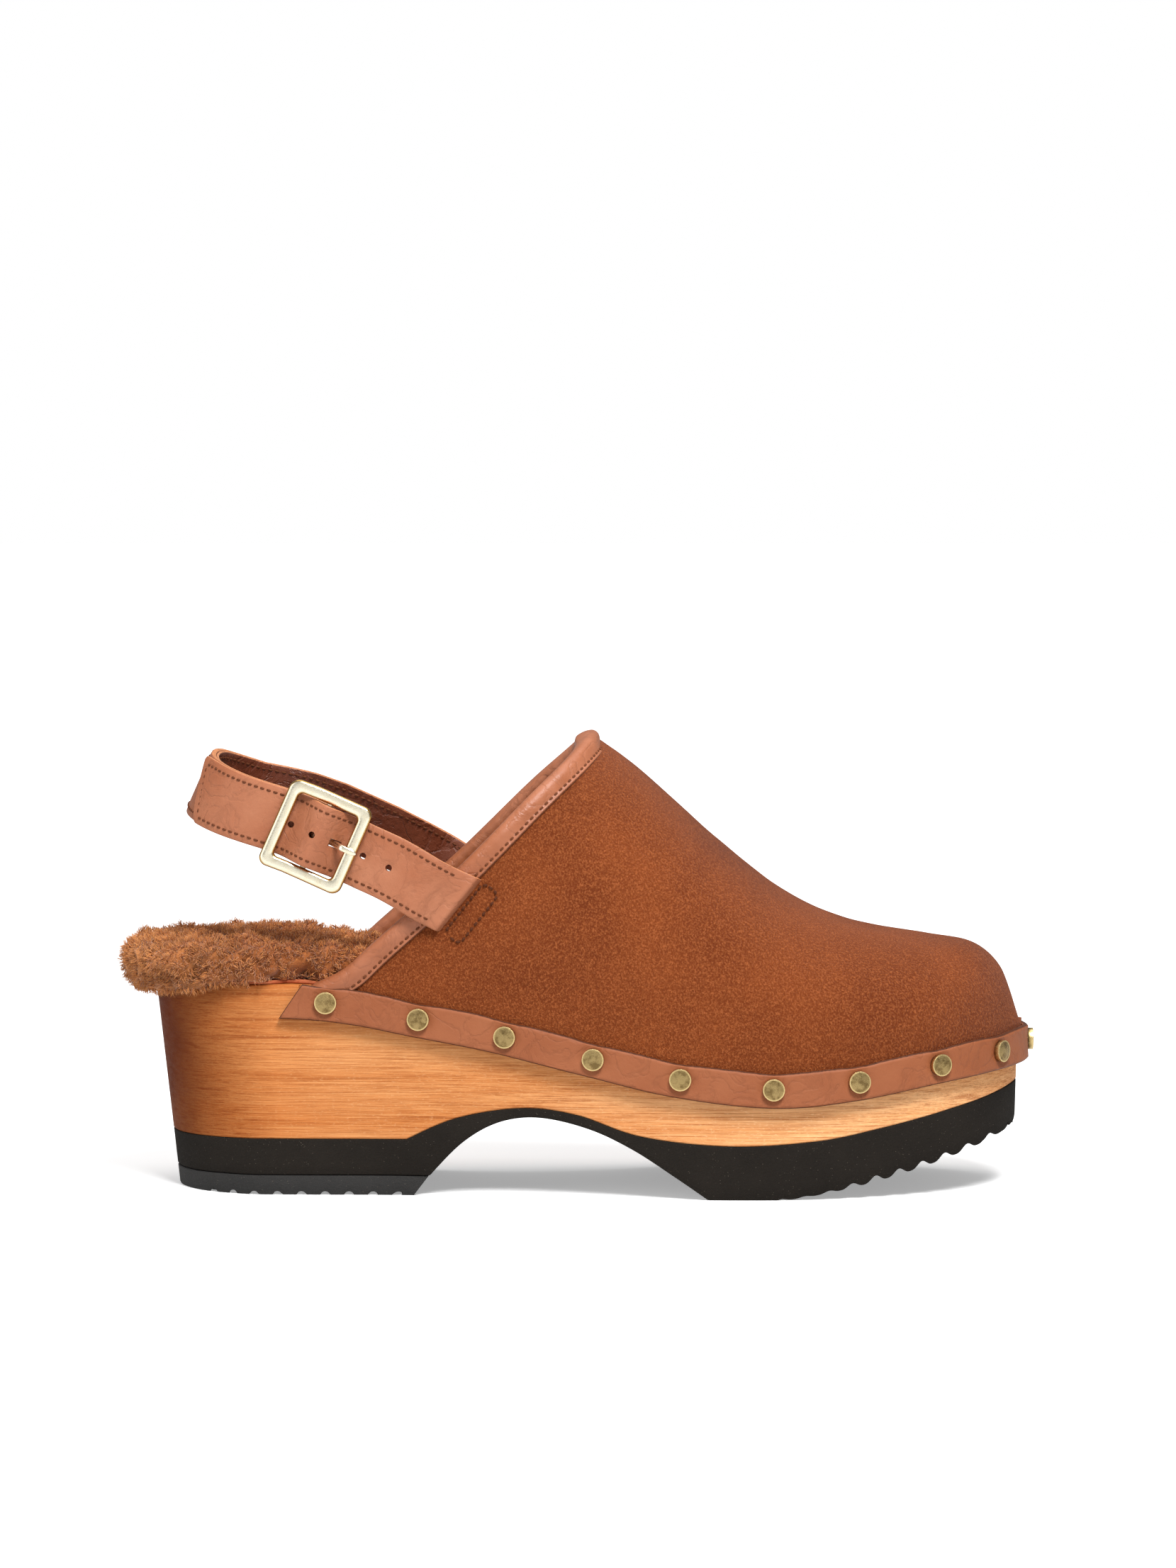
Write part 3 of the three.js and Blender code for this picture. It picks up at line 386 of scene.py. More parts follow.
    def wood_top(self, x: Array) -> Array:
        """Height of the wood's top."""
        return np.interp(x, *self.wood_top_line.T)

    def wood_bottom(self, x: Array) -> Array:
        """Height of the wood's underside."""
        return np.interp(x, *self.wood_bottom_line.T)

    def lean(self, x: Array, z: Array) -> Array:
        """How far the sole's side stands in at x and height z."""
        foot = mix(7.4, 1.6, np.asarray(x) / self.share(0.12))
        return foot * (1 - (z + 2) / (self.heel_height + 4))

    def half_width(self, side: Side, push: float, x: Array) -> Array:
        """The y of one side of the outline, pushed out, at x."""
        line = self.sides[side.value]
        moved = line[:, :2] + line[:, 2:] * push
        order = np.maximum.accumulate(moved[:, 0])
        return np.interp(x, order, moved[:, 1])

    def toe_tip(self, push: float) -> float:
        """Furthest x of the outline pushed out."""
        line = self.sides[0]
        return float((line[:, 0] + line[:, 2] * push).max())

    def ridge(self, inset: float, x: Array) -> Array:
        """Height of the ridge at x, moved in by inset."""
        t = unit(np.gradient(self.ridge_line, axis=0))
        xs = np.maximum.accumulate(self.ridge_line[:, 0] + t[:, 1] * inset)
        return np.interp(x, xs, self.ridge_line[:, 1] - t[:, 0] * inset)

    def arch(self, side: Side, inset: float, x: float, below: float) -> Array:
        """One side of the upper's arch at x, from below the wood's edge up to the ridge.

        Args:
            side: Which side.
            inset: How far inside the suede's face.
            x: Where along the clog.
            below: How far the line starts below the wood's top.

        Returns:
            Rows of x, y, z.
        """
        tip = self.toe_tip(self.proud - inset)
        base = float(self.wood_top(x))
        top = max(float(self.ridge(inset, x)), base + 2)
        boxy = mix(2.1, 2.7, (x - self.peak) / (tip - self.peak))
        outer = float(self.half_width(Side.OUTER, self.proud - inset, x))
        inner = float(self.half_width(Side.INNER, self.proud - inset, x))
        edge = outer if side is Side.OUTER else inner
        shift = self.ball_width * 0.05
        middle = mix(shift, (outer + inner) / 2, (x - self.share(0.9)) / self.share(0.1))
        turn = np.linspace(0, math.pi / 2, 200)
        out = np.cos(turn).clip(0) ** (2 / boxy)
        up = np.sin(turn) ** (2 / boxy)
        arch = np.stack([np.full_like(turn, x), middle + (edge - middle) * out, base + (top - base) * up], 1)
        foot = [[x, edge, z] for z in np.linspace(base - below, base, 12)[:-1]]
        return np.vstack([foot, arch])

    def below_topline(self, line: Array) -> Array:
        """The part of an arch below the topline, ending exactly on it."""
        over = line[:, 2] - self.inner_lift * line[:, 1] - np.interp(line[:, 0], *self.topline.T)
        hits = np.nonzero(over > 0)[0]
        if len(hits) == 0:
            return line
        k = hits[0]
        if k == 0:
            return line[:2]
        share = over[k - 1] / (over[k - 1] - over[k])
        return np.vstack([line[:k], line[k - 1] + (line[k] - line[k - 1]) * share])

    def throat(self, inset: float) -> float:
        """The x where the topline crosses the ridge."""
        x = np.linspace(self.peak - 25, self.peak + 15, 400)
        shift = self.inner_lift * self.ball_width * 0.05
        over = self.ridge(inset, x) - shift - np.interp(x, *self.topline.T)
        return float(x[np.nonzero(over < 0)[0][0]])

    def stations(self, inset: float, back: int, front: int) -> Array:
        """Places along the upper: closer together at the throat and at the toe tip."""
        throat = self.throat(inset)
        tip = self.toe_tip(self.proud - inset) - 0.02
        start = self.upper_back + 0.2
        first = throat - (throat - start) * (1 - np.linspace(0, 1, back)) ** 1.7
        last = throat + (tip - throat) * np.sin(np.linspace(0, 1, front + 1)[1:] * math.pi / 2)
        return np.concatenate([first, last])

    def upper_half(self, side: Side, inset: float, below: float, back: int, front: int, rows: int) -> Array:
        """Grid over one side of the upper, closed at the toe tip.

        Args:
            side: Which side.
            inset: How far inside the suede's face.
            below: How far the sheet reaches below the wood's top.
            back: Stations behind the throat.
            front: Stations in front of it.
            rows: Steps from the lower edge up.

        Returns:
            Array of stations by rows + 1 by three.
        """
        grid = []
        for x in self.stations(inset, back, front):
            line = self.below_topline(self.arch(side, inset, float(x), below))
            grid.append(at_lengths(line, np.linspace(0, arc_lengths(line)[-1], rows + 1)))
        tip = grid[-1].copy()
        tip[:, 0] += 0.02
        tip[:, 1] = tip[-1, 1]
        return np.array(grid + [tip])

    def on_upper(self, side: Side, x: float, z: float, inset: float = 0.0) -> Array:
        """The point of the upper's face at a side-view place."""
        line = self.arch(side, inset, x, 9.0)
        return np.array([x, float(np.interp(z, line[:, 2], line[:, 1])), z])


LINES = Lines()


# ---- Finishes ----
def tone(red: float, green: float, blue: float) -> tuple:
    """A colour from 0 to 255 per channel, as a linear one."""
    parts = (c / 255 for c in (red, green, blue))
    return tuple((c / 12.92 if c <= 0.0405 else ((c + 0.055) / 1.055) ** 2.4) for c in parts) + (1.0,)


def dimmed(colour: tuple, share: float) -> tuple:
    """A linear colour made darker or lighter."""
    return tuple(c * share for c in colour[:3]) + (1,)


class Graph:
    """A short way to build a node tree."""

    def __init__(self, tree: bpy.types.NodeTree) -> None:
        """Keeps the tree that nodes are added to."""
        self.tree = tree

    def put(self, kind: str, inputs: dict | None = None, **settings: object) -> bpy.types.Node:
        """Adds a node.

        Args:
            kind: Node type without its ShaderNode prefix.
            inputs: Socket values, or the sockets that feed them.
            settings: Properties of the node.

        Returns:
            The node.
        """
        node = self.tree.nodes.new("ShaderNode" + kind)
        for key, value in settings.items():
            setattr(node, key, value)
        for key, value in (inputs or {}).items():
            socket = node.inputs[key]
            if isinstance(value, Socket):
                self.tree.links.new(value, socket)
            else:
                socket.default_value = value
        return node

    def stretched(self, vector: Socket, scale: tuple, turn: tuple = (0, 0, 0)) -> Socket:
        """A vector scaled and turned."""
        return self.put("Mapping", {"Vector": vector, "Scale": scale, "Rotation": turn}).outputs[0]

    def noise(self, vector: Socket, scale: object, detail: float = 3, rough: float = 0.5,
              twist: float = 0.0) -> Socket:
        """The value of a noise texture."""
        ins = {"Vector": vector, "Scale": scale, "Detail": detail, "Roughness": rough, "Distortion": twist}
        return self.put("TexNoise", ins).outputs[0]

    def spread(self, value: Socket, low: float, high: float, to_low: float = 0, to_high: float = 1) -> Socket:
        """A value stretched from one range to another and held there."""
        ins = {"Value": value, "From Min": low, "From Max": high, "To Min": to_low, "To Max": to_high}
        return self.put("MapRange", ins).outputs[0]

    def blend(self, share: object, a: object, b: object, mode: str = "MIX") -> Socket:
        """A colour mixed from two."""
        node = self.put("Mix", data_type="RGBA", blend_type=mode)
        for index, value in ((0, share), (6, a), (7, b)):
            if isinstance(value, Socket):
                self.tree.links.new(value, node.inputs[index])
            else:
                node.inputs[index].default_value = value
        return node.outputs[2]

    def math(self, kind: str, a: object, b: object = 0.0) -> Socket:
        """A sum, product or other step on one or two values."""
        return self.put("Math", {0: a, 1: b}, operation=kind).outputs[0]

    def bump(self, height: Socket, depth: float) -> Socket:
        """A normal from a height in metres of depth."""
        return self.put("Bump", {"Height": height, "Distance": depth, "Strength": 1.0}).outputs[0]

    def mask(self, name: str) -> Socket:
        """A value that is kept at each point of the piece."""
        return self.put("Attribute", attribute_name=name, attribute_type="GEOMETRY").outputs["Fac"]

    def group(self, tree: bpy.types.NodeTree, vector: Socket, **values: float) -> dict:
        """The outputs of a shared group, with this material's own values."""
        return self.put("Group", {"Vector": vector, **values}, node_tree=tree).outputs


def shared_group(name: str, inputs: dict, outputs: list) -> tuple:
    """A new shader node group with its sockets.

    Args:
        name: The group's name.
        inputs: Socket names with their type and first value.
        outputs: Names of float outputs.

    Returns:
        The group, a graph on it, its input sockets and its output node.
    """
    tree = bpy.data.node_groups.new(name, "ShaderNodeTree")
    for key, value in inputs.items():
        kind = "NodeSocketVector" if value is None else "NodeSocketFloat"
        socket = tree.interface.new_socket(key, in_out="INPUT", socket_type=kind)
        if value is not None:
            socket.default_value = value
    for key in outputs:
        tree.interface.new_socket(key, in_out="OUTPUT", socket_type="NodeSocketFloat")
    graph = Graph(tree)
    enter = tree.nodes.new("NodeGroupInput")
    leave = tree.nodes.new("NodeGroupOutput")
    return tree, graph, {k: enter.outputs[k] for k in inputs}, leave


def leather_grain() -> bpy.types.NodeTree:
    """Pebbled skin with finer pores and soft wrinkles: heights for any leather."""
    values = {"Vector": None, "Pebble": 900.0, "Wrinkle": 90.0}
    tree, g, ins, leave = shared_group("leather_grain", values, ["Height", "Wear"])
    cells = g.put("TexVoronoi", {"Vector": ins["Vector"], "Scale": ins["Pebble"]}, feature="SMOOTH_F1")
    pores = g.noise(ins["Vector"], 2600, 2)
    fold = g.noise(ins["Vector"], ins["Wrinkle"], 5, twist=1.2)
    crease = g.math("ABSOLUTE", g.math("SUBTRACT", fold, 0.5))
    skin = g.math("ADD", g.math("MULTIPLY", cells.outputs[0], 0.5), g.math("MULTIPLY", pores, 0.5))
    total = g.math("ADD", skin, g.math("MULTIPLY", g.spread(crease, 0, 0.05), 0.7))
    tree.links.new(total, leave.inputs["Height"])
    tree.links.new(g.noise(ins["Vector"], 45, 4, 0.6), leave.inputs["Wear"])
    return tree


def soft_patches() -> bpy.types.NodeTree:
    """Large soft patches with a fine grain in them, for nap, rubber and wood."""
    values = {"Vector": None, "Patch": 40.0, "Grain": 1500.0}
    tree, g, ins, leave = shared_group("soft_patches", values, ["Patches", "Grains"])
    for key, source, detail, rough in (("Patches", "Patch", 4, 0.55), ("Grains", "Grain", 3, 0.7)):
        spots = g.noise(ins["Vector"], ins[source], detail, rough)
        tree.links.new(g.spread(spots, 0.3, 0.7), leave.inputs[key])
    return tree


GRAIN = leather_grain()
PATCHES = soft_patches()


@dataclass(frozen=True)
class Finish:
    """What every finish has in common."""

    name: str
    roughness: float = 0.5
    sheen: float = 0.0
    specular: float = 0.5
    metallic: float = 0.0

    def make(self) -> Material:
        """The material: its shader's own values, and the pattern fed into it."""
        material = bpy.data.materials.new(self.name)
        material.use_nodes = True
        graph = Graph(material.node_tree)
        shader = material.node_tree.nodes["Principled BSDF"]
        values = {"Roughness": self.roughness, "Sheen Weight": self.sheen, "Sheen Roughness": 0.5,
                  "Specular IOR Level": self.specular, "Metallic": self.metallic}
        for key, value in values.items():
            shader.inputs[key].default_value = value
        colour, height, depth, rough = self.pattern(graph, graph.put("TexCoord").outputs["Object"])
        feeds = {"Base Color": colour, "Normal": graph.bump(height, depth), "Roughness": rough}
        for key, socket in feeds.items():
            if socket is not None:
                graph.tree.links.new(socket, shader.inputs[key])
        return material

    def pattern(self, g: Graph, place: Socket) -> tuple:
        """Colour, bump height, bump depth in metres and, where it varies, roughness."""
        raise NotImplementedError


@dataclass(frozen=True)
class Wood(Finish):
    """Oiled alder: fine streaks along the sole, darker and redder towards the heel, partly its own tone and
    partly painted shade.
    """

    dark: tuple = tone(158, 84, 38)
    honey: tuple = tone(222, 150, 90)
    pale: tuple = tone(240, 184, 130)
    gleam: tuple = tone(250, 200, 146)
    fleck: tuple = tone(250, 212, 165)
    red: tuple = tone(88, 34, 8)
    rear_tone_and_shade: tuple = tone(224, 204, 184)

    def pattern(self, g: Graph, place: Socket) -> tuple:
        """The pattern of this finish."""
        def streak(stretch: tuple, detail: float, rough: float) -> Socket:
            """Noise drawn out along the sole, which it crosses at a slight slant."""
            return g.noise(g.stretched(place, stretch, (0, math.radians(2.5), 0)), 1, detail, rough)

        streaks, fibres = streak((18, 300, 700), 5, 0.65), streak((120, 1600, 3400), 3, 0.7)
        rows, lines = streak((26, 300, 3000), 4, 0.7), streak((6, 60, 420), 2, 0.5)
        flecks = g.noise(g.stretched(place, (900, 2200, 2200)), 1, 2, 0.6)
        base = g.blend(g.spread(streak((4, 22, 120), 3, 0.55), 0.3, 0.7), self.honey, self.pale)
        for source, span, colour in (
                (streaks, (0.52, 0.72, 0, 0.32), self.dark), (fibres, (0.45, 0.75, 0, 0.45), self.dark),
                (lines, (0.62, 0.68, 0, 0.5), self.dark), (rows, (0.52, 0.64, 0, 0.6), self.dark),
                (rows, (0.36, 0.47, 0.5, 0), self.gleam), (flecks, (0.55, 0.75, 0, 0.35), self.fleck)):
            base = g.blend(g.spread(source, *span), base, colour)
        x = g.put("SeparateXYZ", {"Vector": place}).outputs[0]
        heel = g.math("ADD", x, g.math("MULTIPLY", g.noise(place, 30, 2), 0.02))
        # Darker from the middle back to the heel and redder at the heel itself: partly the wood's own tone,
        # partly painted shade where the heel's side turns from the light.
        deep = g.blend(1.0, base, self.rear_tone_and_shade, "MULTIPLY")
        base = g.blend(g.spread(x, -0.02, 0.06, 1.0, 0.0), base, deep)
        deeper = g.blend(1.0, base, tone(242, 222, 198), "MULTIPLY")
        base = g.blend(g.spread(heel, -0.095, -0.055, 1.0, 0.0), base, deeper)
        base = g.blend(g.spread(heel, -0.112, -0.078, 0.95, 0.0), base, self.red)
        rough = g.spread(streaks, 0.3, 0.8, self.roughness - 0.08, self.roughness + 0.12)
        height = g.math("ADD", g.math("MULTIPLY", fibres, 0.6), streaks)
        return base, height, 0.0002, rough


@dataclass(frozen=True)
class Rubber(Finish):
    """Matt rubber with pale specks and a dusty grain."""

    colour: tuple = tone(30, 27, 25)
    speck: tuple = tone(112, 104, 92)

    def pattern(self, g: Graph, place: Socket) -> tuple:
        """The pattern of this finish."""
        group = g.group(PATCHES, place, Patch=60, Grain=2400)
        dust = g.put("TexVoronoi", {"Vector": place, "Scale": 1500.0})
        specks = g.spread(dust.outputs["Distance"], 0.12, 0.2, 1, 0)
        rare = g.spread(g.noise(place, 900, 1), 0.55, 0.62)
        base = g.blend(g.math("MULTIPLY", group["Patches"], 0.5), self.colour, dimmed(self.colour, 1.7))
        base = g.blend(g.math("MULTIPLY", g.math("MULTIPLY", specks, rare), 0.5), base, self.speck)
        rough = g.spread(group["Grains"], 0, 1, self.roughness - 0.1, min(1, self.roughness + 0.1))
        return base, group["Grains"], 0.00015, rough


@dataclass(frozen=True)
class Suede(Finish):
    """Short brushed nap with soft darker and lighter strokes."""

    dark: tuple = tone(98, 43, 16)
    base: tuple = tone(127, 62, 27)
    light: tuple = tone(172, 98, 54)

    def pattern(self, g: Graph, place: Socket) -> tuple:
        """The pattern of this finish."""
        group = g.group(PATCHES, g.stretched(place, (1, 1, 0.8), (0, 0.6, 0)), Patch=32, Grain=1900)
        fluff = g.noise(place, 3600, 2, 0.6)
        colour = g.blend(group["Patches"], self.dark, self.base)
        colour = g.blend(g.spread(group["Grains"], 0.35, 0.9, 0, 0.7), colour, self.light)
        colour = g.blend(g.spread(fluff, 0.5, 0.66, 0, 0.75), colour, self.dark)
        height = g.math("ADD", group["Grains"], g.math("MULTIPLY", fluff, 0.7))
        return colour, height, 0.00028, None


@dataclass(frozen=True)
class Leather(Finish):
    """Smooth grained leather whose cut edges, marked by the edge mask, have their own colour."""

    colour: tuple = tone(170, 102, 70)
    worn: tuple = tone(184, 118, 86)
    edge: tuple = tone(205, 128, 80)
    pebble: float = 900.0
    depth: float = 0.00012

    def pattern(self, g: Graph, place: Socket) -> tuple:
        """The pattern of this finish."""
        group = g.group(GRAIN, place, Pebble=self.pebble)
        colour = g.blend(g.spread(group["Wear"], 0.35, 0.65), self.colour, self.worn)
        # Darker in the grain's hollows and creases: painted shade.
        colour = g.blend(g.spread(group["Height"], 0.3, 0.9, 0.25, 0), colour, dimmed(self.colour, 0.55))
        fuzz = g.noise(place, 1400, 3, 0.7)
        rim = g.blend(g.spread(fuzz, 0.35, 0.65), self.edge, dimmed(self.edge, 0.5))
        raw = g.math("ADD", g.mask("edge"), g.math("MULTIPLY", g.math("SUBTRACT", fuzz, 0.5), 0.35))
        colour = g.blend(g.spread(raw, 0.35, 0.65), colour, rim)
        rough = g.spread(group["Wear"], 0.3, 0.7, self.roughness - 0.06, self.roughness + 0.1)
        return colour, group["Height"], self.depth, rough


@dataclass(frozen=True)
class Pile(Finish):
    """Curly wool: darker towards the roots and in sunken clumps, which is painted shade deep in the pile,
    paler and redder at the tips, each lock a little different.
    """

    root: tuple = tone(92, 46, 18)
    mid: tuple = tone(178, 104, 52)
    tip: tuple = tone(226, 160, 96)

    def pattern(self, g: Graph, place: Socket) -> tuple:
        """The pattern of this finish."""
        tip = g.mask("tip")
        own = g.mask("own")
        # Low tip values, at the locks' roots and in the body's sunken clumps, take the root colour: painted
        # shade deep in the pile.
        colour = g.blend(g.spread(tip, 0.0, 0.6), self.root, self.mid)
        colour = g.blend(g.math("MULTIPLY", g.spread(tip, 0.4, 1.0), g.spread(own, 0.1, 1)), colour, self.tip)
        x = g.put("SeparateXYZ", {"Vector": place}).outputs[0]
        colour = g.blend(g.spread(x, -0.13, -0.09, 0.3, 0.0), colour, self.tip)
        clumps = g.noise(place, 120, 3)
        colour = g.blend(g.spread(clumps, 0.35, 0.65, 0.25, 0.0), colour, self.root)
        return colour, g.noise(place, 2200, 3), 0.0003, None


@dataclass(frozen=True)
class Brass(Finish):
    """Pale aged brass with brushed scratches and darker blotches. Where the edge mask is set, the rim colour
    is painted in: a painted highlight round the studs' rims, and on the buckle darker gold on the sides
    beside the face's painted white reflection.
    """

    colour: tuple = tone(168, 144, 96)
    aged: tuple = tone(112, 90, 54)
    # Colour where the edge mask is set: on the studs a painted highlight round the rim.
    rim: tuple = tone(222, 196, 138)
    scratch: float = 1.0

    def pattern(self, g: Graph, place: Socket) -> tuple:
        """The pattern of this finish."""
        brushed = g.noise(g.stretched(place, (1500, 1500, 9000), (0.3, 0.5, 0)), 1, 3, 0.6)
        blotch = g.noise(place, 420, 4, 0.65)
        colour = g.blend(g.spread(blotch, 0.45, 0.62, 0, 0.85), self.colour, self.aged)
        edge = g.mask("edge")
        # The edge mask paints the rim colour in: a painted highlight on the studs' rims, darker gold on the
        # buckle's sides.
        colour = g.blend(g.spread(edge, 0.2, 0.8), colour, self.rim)
        rough = g.spread(brushed, 0.3, 0.7, self.roughness - 0.08, self.roughness + 0.16)
        height = g.math("ADD", brushed, g.math("MULTIPLY", blotch, 0.8))
        return colour, height, 0.00004 * self.scratch, rough


@dataclass(frozen=True)
class Thread(Finish):
    """Twisted sewing thread."""

    colour: tuple = tone(112, 62, 36)

    def pattern(self, g: Graph, place: Socket) -> tuple:
        """The pattern of this finish."""
        twist = g.noise(g.stretched(place, (5000, 5000, 2000)), 1, 1)
        colour = g.blend(twist, self.colour, dimmed(self.colour, 0.45))
        return colour, twist, 0.00005, None


class Finishes:
    """Every material of the clog, made once."""

    def __init__(self) -> None:
        """Makes the materials."""
        def leather(name: str, rough: float, gloss: float, colour: tuple, worn: tuple, edge: tuple,
                    **others: float) -> Material:
            """A leather from the colours of its face, its worn spots and its edge."""
            return Leather(name, rough, specular=gloss, colour=tone(*colour), worn=tone(*worn),
                           edge=tone(*edge), **others).make()

        raw = (214, 140, 92)
        deep = {"pebble": 700.0, "depth": 0.0003}
        self.wood = Wood("oiled_wood", 0.6, specular=0.06).make()
        self.foam = Rubber("foam_rubber", 0.9, specular=0.15, colour=tone(30, 26, 22)).make()
        self.lift = Rubber("lift_rubber", 0.7, specular=0.3, colour=tone(38, 37, 36)).make()
        self.suede = Suede("rust_suede", 1.0, sheen=0.06, specular=0.05).make()
        self.strap = leather("strap_leather", 0.5, 0.28, (153, 91, 61), (166, 106, 76), raw)
        self.sling_inside = leather("sling_inside", 0.4, 0.4, (92, 42, 24), (108, 54, 32), raw, **deep)
        self.rand = leather("rand_leather", 0.55, 0.22, (140, 79, 48), (149, 88, 56), (92, 50, 30))
        self.binding = leather("binding_leather", 0.42, 0.4, (146, 84, 52), (164, 102, 72), (124, 70, 42))
        self.strap_under = leather("strap_lining_leather", 0.5, 0.4, (150, 88, 54), (160, 98, 62), raw)
        self.lining = leather("lining_leather", 0.38, 0.5, (92, 46, 28), (110, 58, 36), (84, 48, 26), **deep)
        self.hide = leather("hide_edge", 0.8, 0.2, (176, 92, 58), (190, 110, 72), (160, 84, 52))
        self.pile = Pile("shearling_pile", 0.9, sheen=0.3, specular=0.15).make()
        self.brass = Brass("aged_brass", 0.26, metallic=1.0).make()
        # The buckle's near-white colour is a painted reflection of the white studio on its face; its rim
        # colour is the darker gold of the sides.
        self.satin = Brass("satin_brass_painted_reflection", 0.22, metallic=1.0, scratch=0.03, colour=tone(246, 238, 214),
                           aged=tone(242, 230, 200), rim=tone(184, 146, 84)).make()
        self.thread = Thread("thread", 0.8, specular=0.2).make()
        self.seam = Thread("seam_thread", 0.8, specular=0.2, colour=tone(92, 46, 22)).make()


# ---- Making pieces ----
@contextmanager
def editing() -> Iterator[None]:
    """Edit mode for the active piece, for as long as the block lasts."""
    bpy.ops.object.mode_set(mode="EDIT")
    yield
    bpy.ops.object.mode_set(mode="OBJECT")


def keep_mask(mesh: bpy.types.Mesh, name: str, values: Array) -> None:
    """Keeps a named value at each point of a mesh."""
    mask = mesh.attributes.new(name, "FLOAT", "POINT")
    mask.data.foreach_set("value", np.asarray(values, np.float32))


@dataclass
class Bench:
    """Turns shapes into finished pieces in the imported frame."""

    finishes: Finishes
    setback: float = 7.0
    slit_share: float = 0.348
    slit_lean: float = math.radians(38.5)

    def __post_init__(self) -> None:
        """Finds the slit, and from its joint the place of the clog in the frame."""
        joints = {j["name"]: j for j in frame["joints"]}
        pivot = np.array(joints["strap_swing"]["pos_m"]) / MM
        axis = joints["buckle_tilt"]["axis"]
        self.rise = math.atan2(axis[0], axis[2])
        height = mix(LINES.heel_height, LINES.instep, self.slit_share)
        line = LINES.topline
        slope = np.gradient(line[:, 1], line[:, 0])[np.searchsorted(line[:, 1], height)]
        self.topline_rise = math.atan(slope)
        x = float(np.interp(height, line[:, 1], line[:, 0])) + self.setback / math.sin(self.topline_rise)
        self.slit = np.array([x, 0.0, height])
        self.origin = np.array([pivot[0] - x, pivot[1], 0.0])

    def to_frame(self, points: Array) -> Array:
        """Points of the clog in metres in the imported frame."""
        return (np.asarray(points, float) + self.origin) * MM

    def piece(self, name: str, shape: Shape, material: Material, slot: str, *replaces: str,
              body: Body | None = Body.CLOG, angle: float = 60.0, merge: float = 0.004) -> Piece:
        """Makes a piece from a shape.

        Args:
            name: The piece's name.
            shape: Its points in mm and its faces.
            material: Its finish.
            slot: The record's material slot; not used.
            replaces: CAD nodes that it stands for.
            body: The body that it rides on, or None to leave it unattached.
            angle: Edges sharper than this stay sharp, in degrees.
            merge: Points closer than this become one, in mm.

        Returns:
            The piece.
        """
        made = self.raw(name, shape)
        made.data.materials.append(material)
        with editing():
            bpy.ops.mesh.select_all(action="SELECT")
            bpy.ops.mesh.remove_doubles(threshold=merge * MM)
            bpy.ops.mesh.dissolve_degenerate(threshold=merge * MM / 4)
            bpy.ops.mesh.select_all(action="SELECT")
            bpy.ops.mesh.normals_make_consistent(inside=False)
        bpy.ops.object.shade_smooth_by_angle(angle=math.radians(angle))
        return self.dress(made, body, slot, replaces)

    def raw(self, name: str, shape: Shape) -> Piece:
        """A shape as a selected object in the frame, with its masks."""
        mesh = bpy.data.meshes.new(name)
        mesh.from_pydata(self.to_frame(shape.points).tolist(), [], shape.faces)
        for key, values in shape.masks.items():
            keep_mask(mesh, key, values)
        made = bpy.data.objects.new(name, mesh)
        bpy.context.collection.objects.link(made)
        self.select(made)
        return made

    def select(self, piece: Piece) -> None:
        """Makes a piece the only selected one."""
        bpy.ops.object.select_all(action="DESELECT")
        piece.select_set(True)
        bpy.context.view_layer.objects.active = piece

    def dress(self, piece: Piece, body: Body | None, slot: str, replaces: tuple) -> Piece:
        """Sets a piece on its body, if it has one, hides the nodes that it replaces and reports it."""
        if body is not None:
            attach(piece, body.value)
        if replaces:
            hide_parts(*replaces)
        LOG.info("%s: %d faces", piece.name, len(piece.data.polygons))
        return piece

    def cut(self, piece: Piece, cutters: Shape) -> None:
        """Cuts holes in a piece with closed shapes."""
        tool = self.raw("cutters", cutters)
        with editing():
            bpy.ops.mesh.select_all(action="SELECT")
            bpy.ops.mesh.normals_make_consistent(inside=False)
        self.select(piece)
        bore = piece.modifiers.new("bore", "BOOLEAN")
        bore.operation = "DIFFERENCE"
        bore.solver = "EXACT"
        bore.object = tool
        bpy.ops.object.modifier_apply(modifier=bore.name)
        bpy.data.objects.remove(tool)


def slab(levels: list, top: Edge, bottom: Edge, count: int = 420, across: int = 10,
         until: float = math.inf, shear: Callable | None = None) -> Shape:
    """A closed body inside the plan outline.

    Args:
        levels: Functions of x, from the bottom edge up, each giving offset and height.
        top: Height of the top face at x.
        bottom: Height of the bottom face at x.
        count: Points along each side.
        across: Points across the top and bottom.
        until: Furthest x that is kept.
        shear: Extra x for given x and z.

    Returns:
        The body.
    """
    sides = [LINES.side(side, count) for side in Side]
    keep = min(int((p[:, 0] <= until).sum()) for p, _ in sides)
    walls = []
    for p, n in sides:
        p, n = p[:keep], n[:keep]
        rows = []
        for level in levels:
            push, z = level(p[:, 0])
            push = push - LINES.lean(p[:, 0], z)
            rows.append(np.column_stack([p + n * push[:, None], z]))
        walls.append(np.array(rows))
    share = np.linspace(0, 1, across + 2)[1:-1, None, None]
    over = walls[0][-1] + (walls[1][-1] - walls[0][-1]) * share
    over[..., 2] = top(over[..., 0])
    under = walls[1][0] + (walls[0][0] - walls[1][0]) * share
    under[..., 2] = bottom(under[..., 0])
    loops = np.concatenate([walls[0], over, walls[1][::-1], under]).transpose(1, 0, 2)
    if shear is not None:
        loops[..., 0] += shear(loops[..., 0], loops[..., 2])
    body = tube(loops)
    if until == math.inf:
        body.faces = body.faces[:-2]
    else:
        body.faces.pop(-2)
    return body


